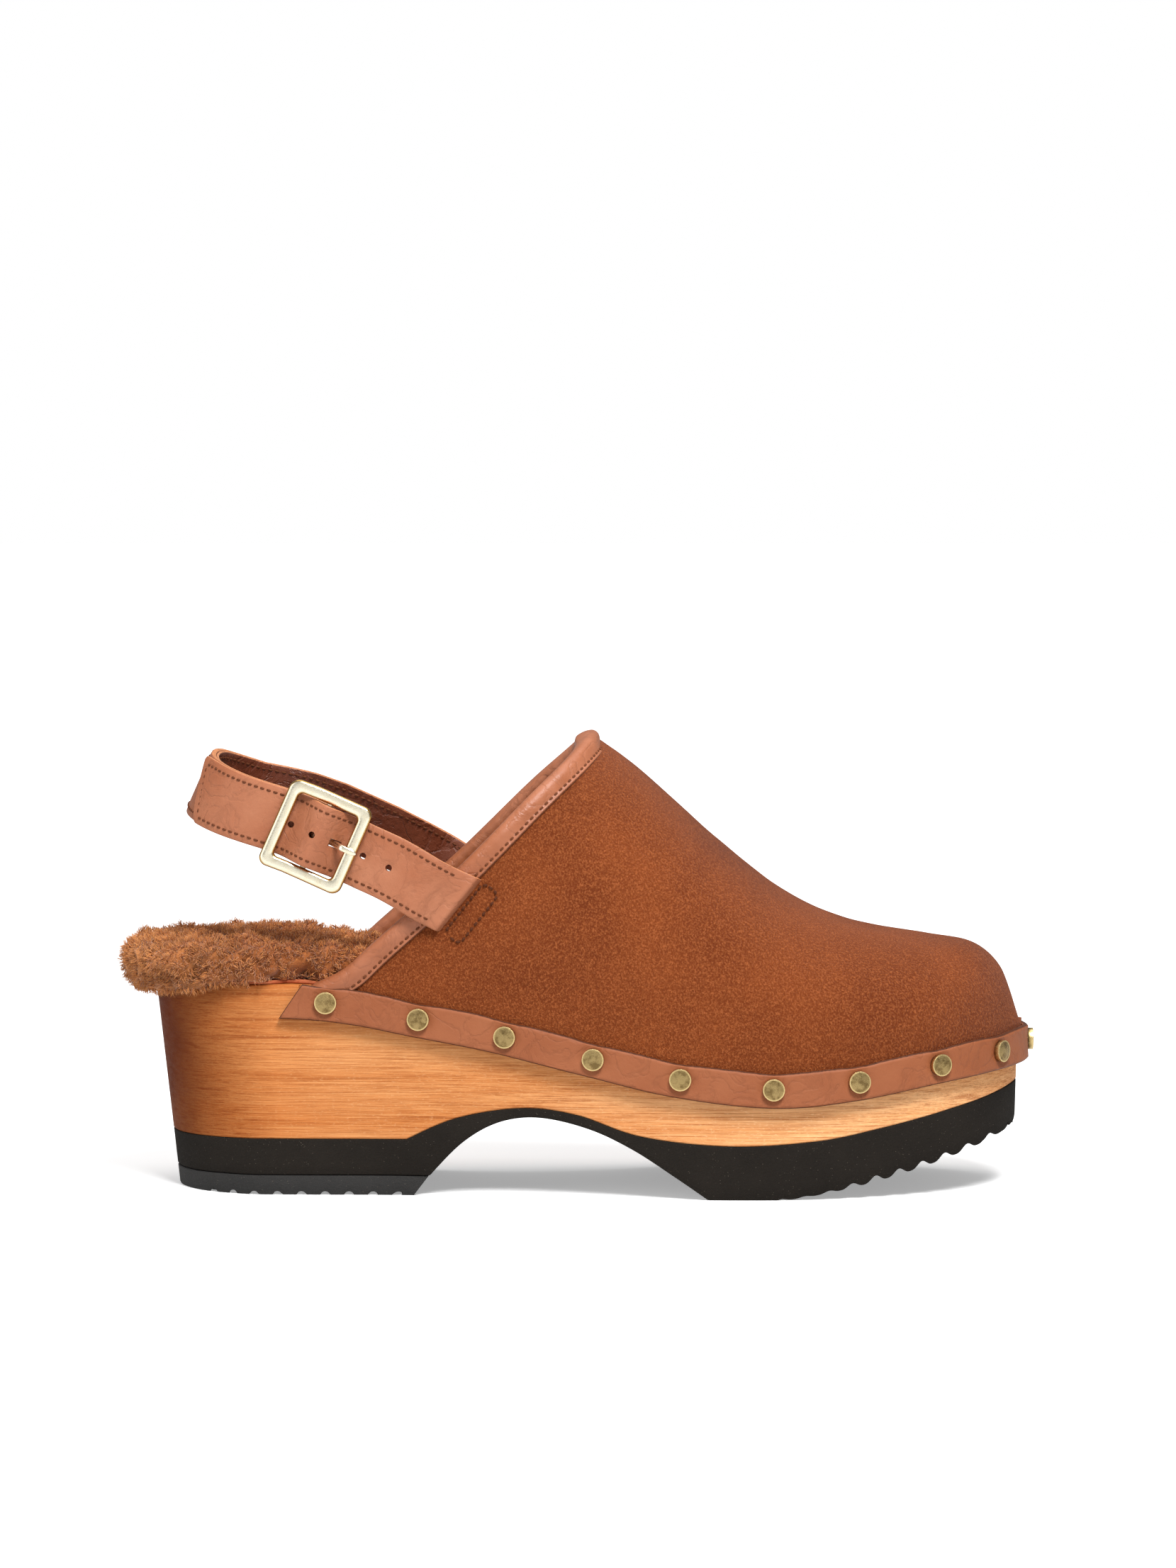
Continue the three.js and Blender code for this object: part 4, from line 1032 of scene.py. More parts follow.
def stitch_row(line: Array, up: Array, pitch: float = 2.1, length: float = 1.62,
               thick: float = 0.33) -> Shape:
    """A row of stitches, each a short bent thread whose ends dive into the leather.

    Args:
        line: Points of the seam.
        up: Directions away from the leather at those points.
        pitch: Distance between stitches.
        length: Length of one stitch.
        thick: Radius of the thread.

    Returns:
        The stitches.
    """
    total = arc_lengths(line)[-1]
    count = max(1, int(total / pitch))
    start = np.arange(count) * pitch + (total - count * pitch) / 2 + (pitch - length) / 2
    t = np.array([0, 0.2, 0.5, 0.8, 1])
    where = (start[:, None] + t * length).ravel()
    centre = at_lengths(line, where).reshape(count, 5, 3)
    s = arc_lengths(line)
    lift = unit(columns(where, s, up)).reshape(count, 5, 3)
    along = unit(centre[:, -1] - centre[:, 0])[:, None, :]
    across = unit(np.cross(along, lift))
    rise = (np.array([-0.3, 0.08, 0.2, 0.08, -0.3]) * thick * 2)[None, :, None]
    fat = (np.array([0.4, 0.9, 1, 0.9, 0.4]) * thick)[None, :, None, None]
    turn = full_turn(6)
    wide, high = np.cos(turn)[:, None], np.sin(turn)[:, None]
    ring = wide * across[:, :, None, :] + 0.75 * high * lift[:, :, None, :]
    points = (centre + lift * rise)[:, :, None, :] + ring * fat
    one = tube(points[0])
    faces = [tuple(i + k * 30 for i in f) for k in range(count) for f in one.faces]
    return Shape(points.reshape(-1, 3), faces)


def join(shapes: list) -> Shape:
    """Several shapes, which have the same masks, as one."""
    faces, shift = [], 0
    for shape in shapes:
        faces += [tuple(i + shift for i in f) for f in shape.faces]
        shift += len(shape.points)
    masks = {k: np.concatenate([shape.masks[k] for shape in shapes]) for k in shapes[0].masks}
    return Shape(np.concatenate([shape.points for shape in shapes]), faces, masks)


@dataclass
class SoleUnit:
    """Carved wood, foam-rubber outsole and heel top piece."""

    bench: Bench
    lug_pitch: float = 7.0
    lug_depth: float = 1.5
    groove: float = 1.0
    toe_thick: float = 13.5
    edge: float = 0.8
    glue: float = 0.1

    def build(self) -> None:
        """Makes the three pieces."""
        finish = self.bench.finishes
        for name, shape, material, slot, node in (
                ("sole_wood", self.wood(), finish.wood, "wood", "wooden_sole"),
                ("sole_foam", self.foam(), finish.foam, "sole_rubber", "rubber_outsole"),
                ("heel_lift", self.lift(), finish.lift, "lift_rubber", "heel_top_piece")):
            self.bench.piece(name, shape, material, slot, node, angle=35)

    def wood(self) -> Shape:
        """The wood, stepped in behind the upper and rounded along its top edge."""
        rabbet = LINES.wall + LINES.gap - LINES.proud
        cut = LINES.rand_height - 3 * LINES.gap

        def level(push: float, drop: float, step_push: float, step_drop: float,
                  share: float = 1.0, foot: float = 0.0) -> Callable:
            """One line round the wood: at the heel, and where the upper is let in."""

            def place(x: Array) -> tuple:
                """Offset and height."""
                low, high = LINES.wood_bottom(x) + foot, LINES.wood_top(x)
                step = ramp(LINES.upper_back - 3, LINES.upper_back - 2, x)
                crest = high - mix(drop, step_drop, step)
                return mix(push, step_push, step), low + (crest - low) * share

            return place

        e, chamfer = self.edge, 0.35
        levels = [lambda x: (np.full_like(x, -chamfer), LINES.wood_bottom(x))]
        levels += [level(0.0, e, 0.0, cut, share, chamfer) for share in np.linspace(0, 1, 7)]
        levels += [level(-0.25 * e, 0.3 * e, -rabbet, cut), level(-e, 0, -rabbet, 0.5),
                   level(-e - 0.4, 0, -rabbet - 0.5, 0)]
        return slab(levels, LINES.wood_top, LINES.wood_bottom)

    def tread(self) -> Array:
        """Side-view line of the outsole's underside, with its lugs."""
        ball_end, toe_edge = LINES.share(0.72), LINES.share(0.992)
        count = round((toe_edge - ball_end) / self.lug_pitch)
        step = (toe_edge - ball_end) / count
        s = np.linspace(0, 1, 15)[:-1]
        x = (ball_end + (np.arange(count)[:, None] + s) * step).ravel()
        top = LINES.toe_bottom - self.toe_thick
        climb = top * ((x - ball_end) / (toe_edge - ball_end)) ** 1.35
        wave = np.tile((0.5 + 0.5 * np.cos(2 * math.pi * s)) ** 1.4, count)
        lugs = climb + self.lug_depth * wave * (0.25 + 0.95 * ramp(ball_end + 8, ball_end + 30, x))
        cut = LINES.top_piece + self.glue
        arch = LINES.arch_line
        arch = arch[(arch[:, 1] > cut) | (arch[:, 0] > LINES.peak)]
        corner = top + self.lug_depth
        toe = [[toe_edge, corner - 1.2], [LINES.sole - 0.6, corner - 0.2], [LINES.sole, corner + 1.6],
               [LINES.share(1.2), LINES.toe_bottom]]
        heel = [[-30, cut], [arch[0, 0] - 0.1, cut]]
        return np.vstack([heel, arch, [ball_end - 1, 0], np.column_stack([x, lugs]), toe])

    def foam(self) -> Shape:
        """The outsole: heel, arch and lugged forefoot."""
        line = self.tread()
        low = lambda x: np.interp(x, *line.T)
        high = lambda x: LINES.wood_bottom(x) - self.glue
        edge = [(-0.5, 0.0), (-0.15, 0.12), (0.0, 0.45)]
        levels = [lambda x, p=p, r=r: (np.full_like(x, p), low(x) + r) for p, r in edge]
        levels += [lambda x, s=s: (np.zeros_like(x), mix(low(x) + 0.45, high(x) - 0.25, s))
                   for s in (0.25, 0.5, 0.75, 1)]
        levels += [lambda x: (np.full_like(x, -0.2), high(x))]
        return slab(levels, high, low, count=560)

    def lift(self) -> Shape:
        """The heel top piece with its cross grooves."""
        arch = LINES.arch_line
        front = float(arch[0, 0])
        centres = front - 5 - self.lug_pitch * np.arange(int((front - 8) / self.lug_pitch))

        def low(x: Array) -> Array:
            """Underside with round-topped grooves."""
            near = np.abs(x[..., None] - centres).min(-1)
            return self.groove * np.sqrt((1 - (near / 1.3) ** 2).clip(0))

        def shear(x: Array, z: Array) -> Array:
            """Slants the front face along the heel's breast."""
            return ramp(front - 10, front, x) * (np.interp(z, arch[:60, 1], arch[:60, 0]) - front)

        high = lambda x: np.full_like(x, LINES.top_piece - self.glue)
        edge = ((-0.6, 0), (-0.15, 0.15), (0, 0.6))
        levels = [lambda x, p=p, r=r: (np.full_like(x, p), low(x) + r) for p, r in edge]
        levels += [lambda x: (np.zeros_like(x), high(x) - 0.3), lambda x: (np.full_like(x, -0.2), high(x))]
        return slab(levels, high, low, count=600, until=front, shear=shear)


@dataclass
class Footbed:
    """Sheepskin: its hide side and its curly pile, with separate locks of wool over it."""

    bench: Bench
    hide: float = 1.2
    pile_heel: float = 12.6
    pile_toe: float = 7.5
    overhang: float = 9.5
    locks: int = 11000
    batches: int = 4
    seed: int = 7

    def build(self) -> None:
        """Makes the hide, the pile's body and the locks."""
        finish = self.bench.finishes
        self.bench.piece("footbed_skin", self.skin(), finish.hide, "hide", "footbed_hide", angle=40)
        pile = self.bench.piece("pile_body", self.pile(), finish.pile, "pile", "shearling_footbed", angle=180)
        self.clump(pile)
        for k, shape in enumerate(self.wool(pile)):
            self.bench.piece(f"pile_locks_{k + 1}", shape, finish.pile, "pile", merge=0)

    def skin(self) -> Shape:
        """The hide, a thin sheet on the wood with a slightly uneven rim."""
        inside = -(LINES.wall + LINES.gap - LINES.proud + 0.5)
        wavy = lambda x: -0.35 + 0.2 * np.sin(x * 0.9) * np.sin(x * 0.37)
        push = lambda x: mix(wavy(x), inside, (x - LINES.upper_back + 12) / 6)
        low, high = (lambda x: LINES.wood_top(x) + 0.12), (lambda x: LINES.wood_top(x) + self.hide)
        levels = [lambda x: (push(x) - 0.3, low(x)), lambda x: (push(x), low(x) + 0.3),
                  lambda x: (push(x), high(x) - 0.3), lambda x: (push(x) - 0.4, high(x))]
        return slab(levels, high, low, count=300)

    def top(self, x: Array) -> Array:
        """Height of the pile's face at x."""
        share = (x - LINES.share(0.2)) / LINES.share(0.45)
        return LINES.wood_top(x) + self.hide + 2 * LINES.gap + mix(self.pile_heel, self.pile_toe, share) - 2.9

    def pile(self) -> Shape:
        """The pile's body: it hangs over the wood at the heel and lies inside the upper in front."""
        inside = -(LINES.wall + LINES.gap - LINES.proud + 1.0)

        def level(reach: float, inwards: float, drop: float, lift: float, share: float) -> object:
            """One line round the pile.

            Args:
                reach: Share of the overhang.
                inwards: Extra offset inwards.
                drop: How far it hangs below the wood's top behind the heel.
                lift: Height over the hide where it doesn't hang.
                share: Share of the pile's height.
            """

            def place(x: Array) -> tuple:
                """Offset and height."""
                out = mix(self.overhang - 2.4, 2.4, x / LINES.share(0.11)) * reach - inwards
                hang = 1 - ramp(8, 30, x)
                foot = LINES.wood_top(x) + mix(self.hide + lift, -drop, hang)
                inner = ramp(LINES.upper_back - 14, LINES.upper_back - 4, x)
                return mix(out, inside - inwards * 0.5, inner), foot + (self.top(x) - foot) * share

            return place

        levels = [level(0, 1.5, -1.0, 0.1, 0), level(0.02, -0.4, 0.2, 0.2, 0), level(0.1, -0.5, 1.2, 0.3, 0),
                  level(0.45, 0, 2.4, 0.6, 0), level(0.85, 0, 2.4, 1.2, 0.04), level(1.0, 0, 0.8, 1.6, 0.2),
                  level(1.06, 0, 0.2, 2.0, 0.45), level(1.0, 0.3, 0, 2.0, 0.7), level(0.8, 1.2, 0, 2.0, 0.9),
                  level(0.45, 2.2, 0, 2.0, 0.985), level(0.1, 4.0, 0, 2.0, 1.0)]
        return slab(levels, self.top, lambda x: LINES.wood_top(x) + self.hide + 0.1, count=300, across=60)

    def clump(self, pile: Piece) -> None:
        """Pushes the pile's face in and out in clumps.

        Args:
            pile: The piece to shape.
        """
        mesh = pile.data
        places, normals = (np.array([getattr(v, key) for v in mesh.vertices], float)
                           for key in ("co", "normal"))
        places = places / MM
        size = wobble(places, 5.5) * 3.0 + wobble(places, 2.8, 9.0) * 1.7 + wobble(places, 1.5, 4.0) * 0.4
        up = ramp(-0.6, 0.1, normals[:, 2] + 0.4)
        moved = places + normals * (size * (0.3 + 0.7 * up))[:, None]
        mesh.vertices.foreach_set("co", (moved * MM).ravel())
        # Sunken places get low tip values and so the darker root colour: painted shade in the hollows between
        # clumps.
        keep_mask(mesh, "tip", (0.3 + 0.12 * size).clip(0, 1))
        keep_mask(mesh, "own", np.full(len(size), 0.4))
        mesh.update()

    def wool(self, pile: Piece) -> list:
        """Locks of wool that stand on the pile's face and lean together in clumps.

        Args:
            pile: The piece that they stand on.

        Returns:
            One shape for each batch.
        """
        rng = np.random.default_rng(self.seed)
        mesh = pile.data
        mesh.calc_loop_triangles()
        points = np.array([v.co for v in mesh.vertices]) / MM - self.bench.origin
        tris = np.array([t.vertices for t in mesh.loop_triangles])
        a, b, c = points[tris[:, 0]], points[tris[:, 1]], points[tris[:, 2]]
        cross = np.cross(b - a, c - a)
        area = np.linalg.norm(cross, axis=1)
        normal = unit(cross)
        middle = (a + b + c) / 3
        hidden = (middle[:, 0] > LINES.share(0.62)) | ((normal[:, 2] < -0.5) & (middle[:, 0] > 30))
        dense = np.where(middle[:, 0] < LINES.share(0.34), 1.0, 0.35) * np.where(hidden, 0.0, 1.0)
        total = self.locks * self.batches
        pick = rng.choice(len(tris), total, p=area * dense / (area * dense).sum())
        u, v = rng.random((2, total, 1))
        flip = (u + v) > 1
        u, v = np.where(flip, 1 - u, u), np.where(flip, 1 - v, v)
        root = a[pick] + (b[pick] - a[pick]) * u + (c[pick] - a[pick]) * v
        out = normal[pick]
        long = rng.uniform(1.4, 3.4, (total, 1))
        loose = rng.normal(0, 0.62, (total, 3))
        tips = root + unit(out * 0.9 + loose + [0, 0, -0.1]) * long
        centres = rng.choice(total, total // 14, replace=False)
        tree = kdtree.KDTree(len(centres))
        for k, index in enumerate(centres):
            tree.insert(root[index], k)
        tree.balance()
        home = centres[[tree.find(p)[1] for p in root]]
        gather = root[home] + unit(out[home] + loose[home] * 0.5) * 2.2
        tips = tips + (gather - tips) * rng.uniform(0.25, 0.75, (total, 1))
        along = unit(tips - root)
        side = unit(np.cross(along, rng.normal(0, 1, (total, 3))))
        other = np.cross(along, side)
        length = np.linalg.norm(tips - root, axis=1)[:, None]
        curl = rng.uniform(0.25, 0.6, (total, 1)) * length * 0.5
        stops = [(0.0, 0.0, 1.0), (0.4, 0.8, 0.9), (0.75, 0.5, 0.65)]
        thick = rng.uniform(0.07, 0.14, (total, 1))
        rows, tip_mask = [], []
        for share, bow, fat in stops:
            spot = root + (tips - root) * share + side * curl * bow
            for turn in (0, 2.094, 4.189):
                rows.append(spot + (side * math.cos(turn) + other * math.sin(turn)) * thick * fat)
                tip_mask.append(share)
        rows.append(tips + other * curl * 0.6)
        tip_mask.append(1.0)
        body = np.stack(rows, 1)
        own = np.repeat(rng.random((total, 1)), 10, axis=1)
        # Tip values rise from the root, whose darker colour is painted shade deep in the pile, to the tip.
        tip = np.tile(np.array(tip_mask) * 0.7 + 0.3, (total, 1))
        one = [(2, 1, 0)]
        for r in (0, 3):
            one += [(r, r + 1, r + 4, r + 3), (r + 1, r + 2, r + 5, r + 4), (r + 2, r, r + 3, r + 5)]
        one += [(6, 7, 9), (7, 8, 9), (8, 6, 9)]
        shapes = []
        for k in range(self.batches):
            part = slice(k * self.locks, (k + 1) * self.locks)
            faces = [tuple(i + n * 10 for i in f) for n in range(self.locks) for f in one]
            masks = {"tip": tip[part].ravel(), "own": own[part].ravel()}
            shapes.append(Shape(body[part].reshape(-1, 3), faces, masks))
        return shapes


@dataclass
class Upper:
    """Suede vamp, its lining, the binding over the topline and the stitched slits."""

    bench: Bench
    binding: float = 5.0
    back: int = 100
    front: int = 120
    rows: int = 64

    def build(self) -> None:
        """Makes the upper's pieces."""
        finish, bench = self.bench.finishes, self.bench
        suede = self.shell(0, LINES.suede, self.back, self.front, self.rows)
        lining = self.shell(LINES.wall - LINES.lining, LINES.lining, 60, 70, 36)
        fold, seam, up = self.fold()
        bench.piece("vamp_suede", suede, finish.suede, "suede", "suede_vamp")
        bench.piece("vamp_inside", lining, finish.lining, "lining", "vamp_lining")
        bench.piece("topline_fold", fold, finish.binding, "tan_leather", "topline_binding")
        bench.piece("topline_stitches", stitch_row(seam, up), finish.thread, "tan_leather", merge=0)
        boxes = join([self.box(side) for side in Side])
        bench.piece("slit_stitches", boxes, finish.seam, "suede", merge=0)
        puff = frame["nodes"]["toe_puff"]
        puff.data.materials.clear()
        puff.data.materials.append(finish.lining)

    def shell(self, inset: float, thick: float, back: int, front: int, rows: int) -> Shape:
        """A layer of the upper.

        Args:
            inset: Distance of its face inside the suede's face.
            thick: Its thickness.
            back: Stations behind the throat.
            front: Stations in front of it.
            rows: Steps up each side.
        """
        halves = []
        for side in Side:
            face = LINES.upper_half(side, inset, LINES.tuck, back, front, rows)
            under = LINES.upper_half(side, inset + thick, LINES.tuck, back, front, rows)
            if inset == 0:
                soft = 0.22 * wobble(face, 17.0) + 0.1 * wobble(face, 7.0, 5.0)
                soft[:, -1] *= ramp(back - 4, back + 8, np.arange(len(soft)))
                out = unit(face - under)
                face = face + out * soft[..., None]
            halves.append(thick_sheet(face, under, seam_from=back - 1))
        return join(halves)

    def fold(self) -> tuple[Shape, Array, Array]:
        """The binding, swept along the topline from one side over the throat to the other.

        Returns:
            Its shape, the line of its seam and the directions away from the leather there.
        """
        count = 130
        outer, inner = (LINES.upper_half(side, 0, LINES.tuck, count, 2, 60)[:count] for side in Side)
        both = np.vstack([outer, inner[::-1][1:]])
        edge, below = both[:, -1], both[:, -4]
        s = arc_lengths(edge)
        even = np.linspace(0, s[-1], 330)
        below = columns(even, s, below)
        edge = at_lengths(edge, even)
        along = unit(np.gradient(edge, axis=0))
        out = unit(np.cross(along, below - edge))
        for _ in range(40):
            out[1:-1] = unit(out[:-2] + out[1:-1] * 2 + out[2:])
        middle = np.array([LINES.share(0.42), 0, LINES.heel_height])
        if np.mean(((edge - middle) * out).sum(1)) < 0:
            out = -out
        down = np.cross(out, along)
        down *= np.sign((down * (below - edge)).sum(1).mean())
        b, w = self.binding, LINES.wall
        loop = closed_curve(
            [(b, 0.12), (b + 0.05, 0.7), (b - 0.35, 1.15), (b - 1.2, 0.98), (b - 2.2, 1.3), (1.2, 1.75),
             (-0.2, 1.6), (-1.25, 0.7), (-1.7, -0.8), (-1.8, -w / 2), (-1.7, -w + 0.8), (-1.25, -w - 0.7),
             (-0.2, -w - 1.5), (1.2, -w - 1.6), (b - 1.2, -w - 1.1), (b, -w - 1.0), (b, -w - 0.15),
             (0.6, -w - 0.12), (-0.2, -w + 0.6), (-0.25, -w / 2), (-0.2, -0.6), (0.6, 0.12)], 3)
        creases = 1 + 0.012 * np.sin(even * 1.9) + 0.02 * np.sin(even * 0.7 + 1)
        swell = loop[None, :, 1:2] * creases[:, None, None]
        loops = edge[:, None, :] + (loop[None, :, 0:1] * down[:, None, :] + swell * out[:, None, :])
        rim = np.tile((loop[:, 0] > b - 0.2).astype(float), (len(even), 1))
        seam = edge + down * (b - 1.2) + out * 1.02
        return tube(loops, {"edge": rim}), seam[6:-6], out[6:-6]

    def box(self, side: Side) -> Shape:
        """The narrow stitched box in front of a slit.

        Args:
            side: Which side of the foot.
        """
        lean, half, near, far, round_by = math.pi / 2 - self.bench.slit_lean, 9.3, 0.3, 5.9, 1.2
        u = np.array([math.cos(lean), math.sin(lean)])
        v = np.array([math.sin(lean), -math.cos(lean)])
        low, high = near + round_by, far - round_by
        corners = [(-half, low), (-half, high), (-half + round_by, far), (half - round_by, far), (half, high),
                   (half, low), (half - round_by, near), (-half + round_by, near), (-half, low)]
        flat = np.array([self.bench.slit[[0, 2]] + [-0.3, -1.9] + u * a + v * b for a, b in corners])
        dense = at_lengths(flat, np.linspace(0, arc_lengths(flat)[-1], 120))
        line = np.array([LINES.on_upper(side, x, z) for x, z in dense])
        sign = -1 if side is Side.OUTER else 1
        raised = line + [0, sign * 0.42, 0]
        return stitch_row(raised, np.tile([0, sign, 0.25], (len(line), 1)), 1.9, 1.4, 0.36)


@dataclass
class Rand:
    """The leather strip nailed round the wood, and its studs."""

    bench: Bench
    per_side: int = 9
    head: float = 3.2
    dome: float = 1.5
    nail: float = 0.8
    shank: float = 10.5
    point: float = 1.5
    back: float = 0.148
    first: float = 0.198
    stagger: tuple = (1.0, 2.1, 1.6, 1.6, 1.0, 2.0, 1.1, 0.5, -1.2, 0.0)

    def build(self) -> None:
        """Makes the strip and the studs."""
        finish = self.bench.finishes
        self.path()
        self.bench.piece("rand_leather", self.strip(), finish.rand, "tan_leather", "rand_strip", angle=50)
        self.studs()

    def path(self) -> None:
        """The way round the toe from one back end to the other, and where the studs lie on it."""
        outer, inner = LINES.sides
        line = np.vstack([outer, inner[::-1][1:]])
        start = np.nonzero(outer[:, 0] > LINES.share(self.back))[0][0]
        finish = len(line) - np.nonzero(inner[:, 0] > LINES.share(self.back))[0][0]
        tip = len(outer) - 1 - start
        self.line = line[start:finish]
        self.s = arc_lengths(self.line[:, :2] + self.line[:, 2:] * LINES.rand_proud)
        x = self.line[:, 0]
        first = self.s[np.nonzero(x > LINES.share(self.first))[0][0]]
        last = self.s[np.nonzero(x > LINES.share(self.first))[0][-1]]
        middle = self.s[tip]
        a = np.linspace(first, middle, self.per_side + 1)
        self.stud_at = np.concatenate([a + self.stagger, np.linspace(middle, last, self.per_side + 1)[1:]])

    def at(self, s: Array) -> Array:
        """Outline point and outward direction at distances along the strip."""
        return columns(s, self.s, self.line)

    def strip(self) -> Shape:
        """The strip: slanted ends, dimples under the studs and a soft wavy upper edge."""
        height, thick = LINES.rand_height, LINES.rand
        total = self.s[-1]
        s0 = np.linspace(0, total, 900)
        up = np.linspace(0, 1, 19)
        face = [(h, 1.0) for h in up[1:-1]]
        back = [(0.995, 0.72), (1.0, 0.3), (0.985, 0.0), (0.5, 0.0), (0.02, 0.0)]
        loop = np.array([(0.0, 0.25), (0.005, 0.7)] + face + back)
        h, d = loop[:, 0][None, :], loop[:, 1][None, :]
        slope = 6.9 * (1 - ramp(0, 16, np.minimum(s0, total - s0)))[:, None] * h
        s = s0[:, None] + np.where(s0[:, None] < total / 2, slope, -slope)
        base = self.at(s)
        x = base[..., 0]
        gap = np.abs(s[..., None] - self.stud_at).min(-1)
        start = LINES.share(self.back)
        settle = mix(0.35 - (LINES.rand_proud - thick), 0, (x - start) / (LINES.upper_back - start))
        push = LINES.rand_proud - thick + settle + d * thick
        away = np.sqrt(gap**2 + ((h - 0.5) * height - 0.4) ** 2)
        dimple = -0.5 * np.exp(-((away / 4.4) ** 2)) + 0.16 * np.exp(-(((away - 5.2) / 1.6) ** 2))
        belly = 0.28 * (1 - np.exp(-((gap / 7.0) ** 2))) * (1 - 1.4 * h)
        push = push + (dimple + belly) * ramp(-0.1, 1.0, d)
        soft = np.stack([s, h * height + 0 * s, np.zeros_like(s)], -1)
        push = push + 0.1 * wobble(soft, 5.0) * d
        dip = -0.45 * np.exp(-((gap / 5.5) ** 2)) + 0.12 * wobble(soft * [1, 0, 0], 3.0, 3.0)
        z = LINES.wood_top(x) + 2 * LINES.gap - height + h * height + dip * h**2
        points = np.concatenate([base[..., :2] + base[..., 2:] * push[..., None], z[..., None]], -1)
        ends = np.minimum(s0, total - s0)[:, None] < 0.4
        rim = ((h > 0.99) | ends | (h < 0.01)).astype(float) + np.zeros_like(s)
        return tube(points, {"edge": rim.clip(0, 1)})

    def studs(self) -> None:
        """One domed stud with its nail, copied to every place, each copy with its own mesh."""
        stud = self.model_stud()
        origin = self.bench.origin
        for k, s in enumerate(self.stud_at):
            x, y, nx, ny = self.at(np.array(s))
            n = Vector((nx, ny, 0)).normalized()
            z = float(LINES.wood_top(x)) + 2 * LINES.gap - LINES.rand_height / 2 + 0.4
            seat = Vector((x + n.x * (LINES.rand_proud - 0.15), y + n.y * (LINES.rand_proud - 0.15), z))
            copy = stud.copy()
            copy.data = stud.data.copy()
            copy.name = copy.data.name = f"stud_head_{k + 1:02d}"
            bpy.context.collection.objects.link(copy)
            roll = Matrix.Rotation(1.7 * k, 4, "Z")
            copy.data.transform(n.to_track_quat("Z", "Y").to_matrix().to_4x4() @ roll)
            copy.data.transform(Matrix.Translation((seat + Vector(origin)) * MM))
            self.bench.dress(copy, Body.CLOG, "brass", (f"stud_{k + 1:02d}",))
        bpy.data.objects.remove(stud)

    def model_stud(self) -> Piece:
        """A stud at the origin, its head along +Z.

        Returns:
            The stud that the copies are taken from.
        """
        r, high = self.head * MM, self.dome * MM
        bpy.ops.object.select_all(action="DESELECT")
        bpy.ops.mesh.primitive_cylinder_add(vertices=40, radius=r, depth=high, location=(0, 0, high / 2))
        stud = bpy.context.object
        bpy.ops.object.transform_apply(location=True, rotation=True, scale=True)
        self.pick(stud, 1)
        with editing():
            for inset, lift in ((0.6, 0.0), (0.5, 0.08), (0.7, 0.09), (0.7, 0.05)):
                bpy.ops.mesh.inset(thickness=inset * MM)
                bpy.ops.transform.translate(value=(0, 0, lift * MM))
        self.pick(stud, -1)
        with editing():
            bpy.ops.mesh.inset(thickness=(self.head - self.nail) * MM)
            for long in (self.shank, self.point):
                bpy.ops.mesh.extrude_region_move(TRANSFORM_OT_translate={"value": (0, 0, -long * MM)})
            bpy.ops.transform.resize(value=(0.05, 0.05, 1))
        soft = stud.modifiers.new("soft", "BEVEL")
        soft.width = 0.6 * MM
        soft.segments = 4
        soft.limit_method = "ANGLE"
        soft.angle_limit = math.radians(50)
        bpy.ops.object.modifier_apply(modifier=soft.name)
        bpy.ops.object.shade_smooth_by_angle(angle=math.radians(50))
        # Marks the head's rim, where the brass is painted lighter: a painted highlight.
        spread = [math.hypot(v.co.x, v.co.y) / MM for v in stud.data.vertices]
        rim = [self.head - 0.5 < far and v.co.z > 0.2 * high for far, v in zip(spread, stud.data.vertices)]
        keep_mask(stud.data, "edge", rim)
        stud.data.materials.append(self.bench.finishes.brass)
        return stud

    def pick(self, stud: Piece, way: int) -> None:
        """Selects only the faces that look straight up, or down with way -1."""
        with editing():
            bpy.ops.mesh.select_mode(type="FACE")
            bpy.ops.mesh.select_all(action="DESELECT")
        for polygon in stud.data.polygons:
            polygon.select = polygon.normal.z * way > 0.9


